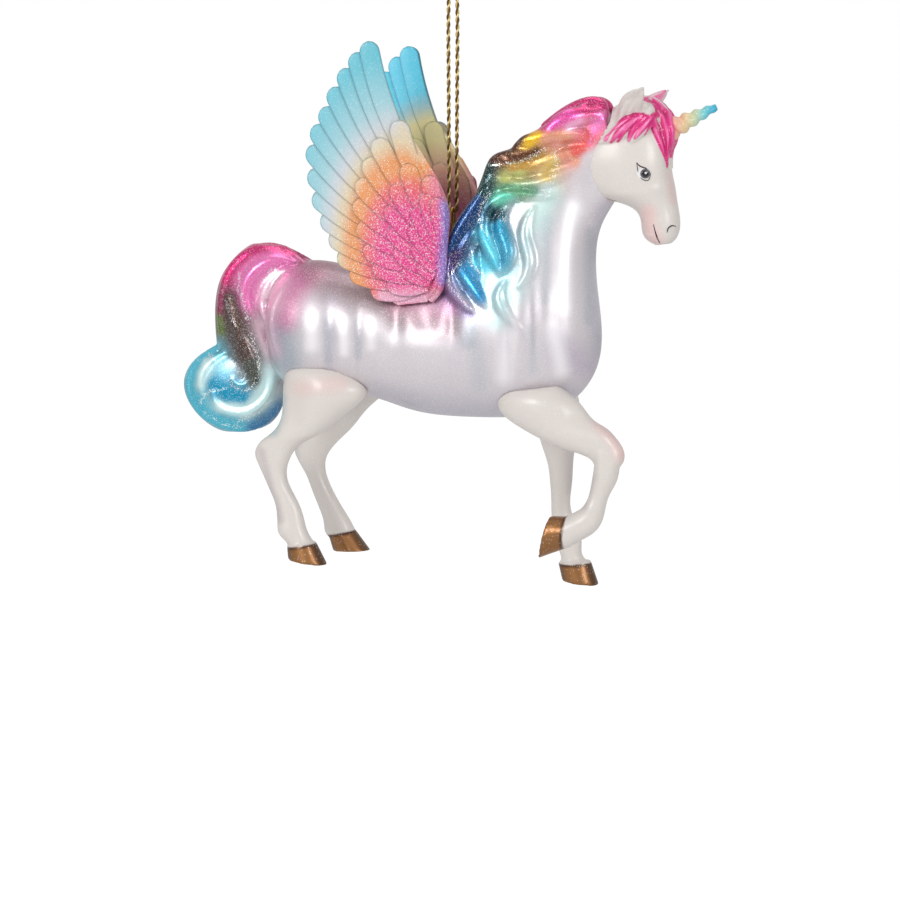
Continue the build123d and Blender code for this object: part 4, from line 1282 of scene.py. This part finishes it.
def makeFace(head):
    tree = surfaceTree(head)
    inks = {name: plainMaterial(name, *values) for name, values in faceInks.items()}
    sides = ((1, "right"), (-1, "left"))
    strokes = [(line, radius, "grey_ink") for line, radius in inkLines]
    strokes.append((seamLine, seamRadius, "seam_line"))
    pieces = [inkStroke(tree, line, radius, side, f"{label}_ink_line_{number}", inks[ink])
              for number, (line, radius, ink) in enumerate(strokes) for side, label in sides]
    place, normal = photoHit(tree, *eyePlace)
    for side, label in sides:
        centre = Vector((place.x, place.y * side, place.z))
        outward = Vector((normal.x, normal.y * side, normal.z))
        for part, radius, depth, shift, ink, lift in eyeParts:
            pieces.append(eyePart(centre, outward, f"{label}_{part}", radius, depth, shift, inks[ink], lift))
    for piece in pieces:
        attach(piece, "figure")
    print("face", len(pieces), "pieces")


makeFace(makeHead())


# horn
# fullness is how far the skin is pushed out at the root, and how much less at the tip
hornSettings = {"voxel": 0.17 * mm, "smooth": 0.5, "turns": 1, "rootX": 0.0512,
                "fullness": (0.42 * mm, 0.3 * mm), "crevices": (4, 6000), "dust": 0.4}
hornTones = [(0.0, (236, 140, 164)), (0.22, (236, 166, 152)), (0.45, (230, 206, 158)),
             (0.62, (196, 214, 176)), (0.78, (110, 204, 212)), (1.0, (16, 168, 206))]
# the horn's finish has a stronger, browner painted shade in the grooves of its twist
hornFinish = dict(resinFinish, creviceShade=1.0, creviceShadeTone=(0.5, 0.4, 0.35))


def makeHorn():
    horn = copyNode("horn", "twisted_horn")
    voxelSkin(horn, hornSettings)
    root, tip = hornSettings["rootX"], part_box("horn")[1].x
    most, less = hornSettings["fullness"]
    places = vertices(horn)
    share = np.clip((places[:, 0] - root) / (tip - root), 0, 1)
    setVertices(horn, places + vertexNormals(horn) * (most - less * share)[:, None])
    creviceMask(horn, *hornSettings["crevices"])
    share = np.clip((vertices(horn)[:, 0] - root) / (tip - root), 0, 1)
    storeColour(horn, rampColours(share, hornTones))
    storeMask(horn, "dust", hornSettings["dust"])
    horn.data.materials.append(paintedMaterial("rainbow_horn", hornFinish))
    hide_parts("horn")
    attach(horn, "figure")
    print("horn", len(horn.data.vertices), "vertices")


makeHorn()


# fittings
golds = {"dull": (176, 140, 64), "bright": (244, 226, 160), "shadedPly": (104, 78, 36)}
threadFinish = {"metallic": 0.8, "roughness": 0.36, "scale": 3000, "detail": 3.0}
fittingTones = {"hanger_cap": ("gold_cap", (190, 150, 80), 1.0, 0.35),
                "wire_loop": ("gold_wire", (180, 140, 76), 1.0, 0.3)}


def goldThread(name, twoPlies):
    material, tree, shader = startMaterial(name, threadFinish["metallic"], threadFinish["roughness"])
    shade = noiseNode(tree, threadFinish["scale"], threadFinish["detail"])
    gold = mixColour(tree, "MIX", shade, tone(*golds["dull"]), tone(*golds["bright"]))
    # one ply darker, as painted shade in the gaps between the cord's bright twists
    if twoPlies:
        ply = attributeNode(tree, "ply").outputs["Fac"]
        gold = mixColour(tree, "MIX", ply, tone(*golds["shadedPly"]), gold)
    tree.links.new(gold, shader.inputs["Base Color"])
    return material


def finishFittings():
    cord.data.materials.append(goldThread("gold_cord", True))
    finishes = {"cord_knot": goldThread("gold_knot", False)}
    finishes.update({node: plainMaterial(*values) for node, values in fittingTones.items()})
    for node, material in finishes.items():
        frame["nodes"][node].data.materials.clear()
        frame["nodes"][node].data.materials.append(material)
    print("fittings", len(finishes))


finishFittings()


# floor, world, lamps and camera
studio = {"floorDrop": 0.16, "floorSize": 6, "floorTone": 0.93, "floorRoughness": 0.9, "glow": 1.14,
          "seenGlow": 0.82, "glossy": 0.75, "fill": 0.45, "aimDrop": 0.03}
# place, size in metres and power in watts
lamps = {"keyLamp": ((-0.25, -0.6, 0.16), 0.22, 1.65), "sideLamp": ((0.5, -0.45, 0.1), 0.18, 1.15),
         "topLamp": ((0.0, 0.1, 0.6), 0.4, 0.8)}


# the camera sees a white floor that still takes the object's shadow
def makeFloor():
    bpy.ops.mesh.primitive_plane_add(size=studio["floorSize"], location=(0, 0, eye.z - studio["floorDrop"]))
    floor = bpy.context.object
    floor.name = "pale_floor"
    material, tree, shader = startMaterial("pale_floor", 0.0, studio["floorRoughness"])
    shader.inputs["Base Color"].default_value = (*[studio["floorTone"]] * 3, 1)
    glow = nodeIn(tree, "ShaderNodeEmission")
    mix = nodeIn(tree, "ShaderNodeMixShader")
    rays = nodeIn(tree, "ShaderNodeLightPath")
    glow.inputs["Strength"].default_value = studio["glow"]
    seen = mathNode(tree, "MULTIPLY", rays.outputs["Is Camera Ray"], studio["seenGlow"])
    tree.links.new(seen, mix.inputs["Fac"])
    tree.links.new(shader.outputs["BSDF"], mix.inputs[1])
    tree.links.new(glow.outputs["Emission"], mix.inputs[2])
    tree.links.new(mix.outputs["Shader"], tree.nodes["Material Output"].inputs["Surface"])
    floor.data.materials.append(material)


# white to the camera, softer in reflections and as fill light
def makeWorld():
    world = bpy.data.worlds.new("studio")
    bpy.context.scene.world = world
    world.use_nodes = True
    tree = world.node_tree
    ground = tree.nodes["Background"]
    ground.inputs["Color"].default_value = (1, 1, 1, 1)
    rays = nodeIn(tree, "ShaderNodeLightPath").outputs
    direct = mathNode(tree, "MAXIMUM", rays["Is Camera Ray"], rays["Is Transmission Ray"])
    glossy = mathNode(tree, "MULTIPLY", rays["Is Glossy Ray"], studio["glossy"])
    strength = mathNode(tree, "MAXIMUM", mathNode(tree, "MAXIMUM", direct, glossy), studio["fill"])
    tree.links.new(strength, ground.inputs["Strength"])


def makeLamps():
    for name, (place, size, watts) in lamps.items():
        light = bpy.data.lights.new(name, "AREA")
        light.size = size
        light.energy = watts
        lamp = newPiece(name, light)
        lamp.location = place
        aim = Vector((0, 0, eye.z - studio["aimDrop"])) - lamp.location
        lamp.rotation_euler = aim.to_track_quat("-Z", "Y").to_euler()


def makeCamera():
    data = bpy.data.cameras.new("photoCamera")
    data.lens = photoCamera["lens"]
    data.sensor_width = photoCamera["sensor"]
    camera = newPiece("photoCamera", data)
    camera.location = cameraPlace
    camera.rotation_euler = cameraAngles
    bpy.context.scene.camera = camera
    bpy.context.scene.view_settings.view_transform = "Standard"


makeFloor()
makeWorld()
makeLamps()
makeCamera()
print("studio")
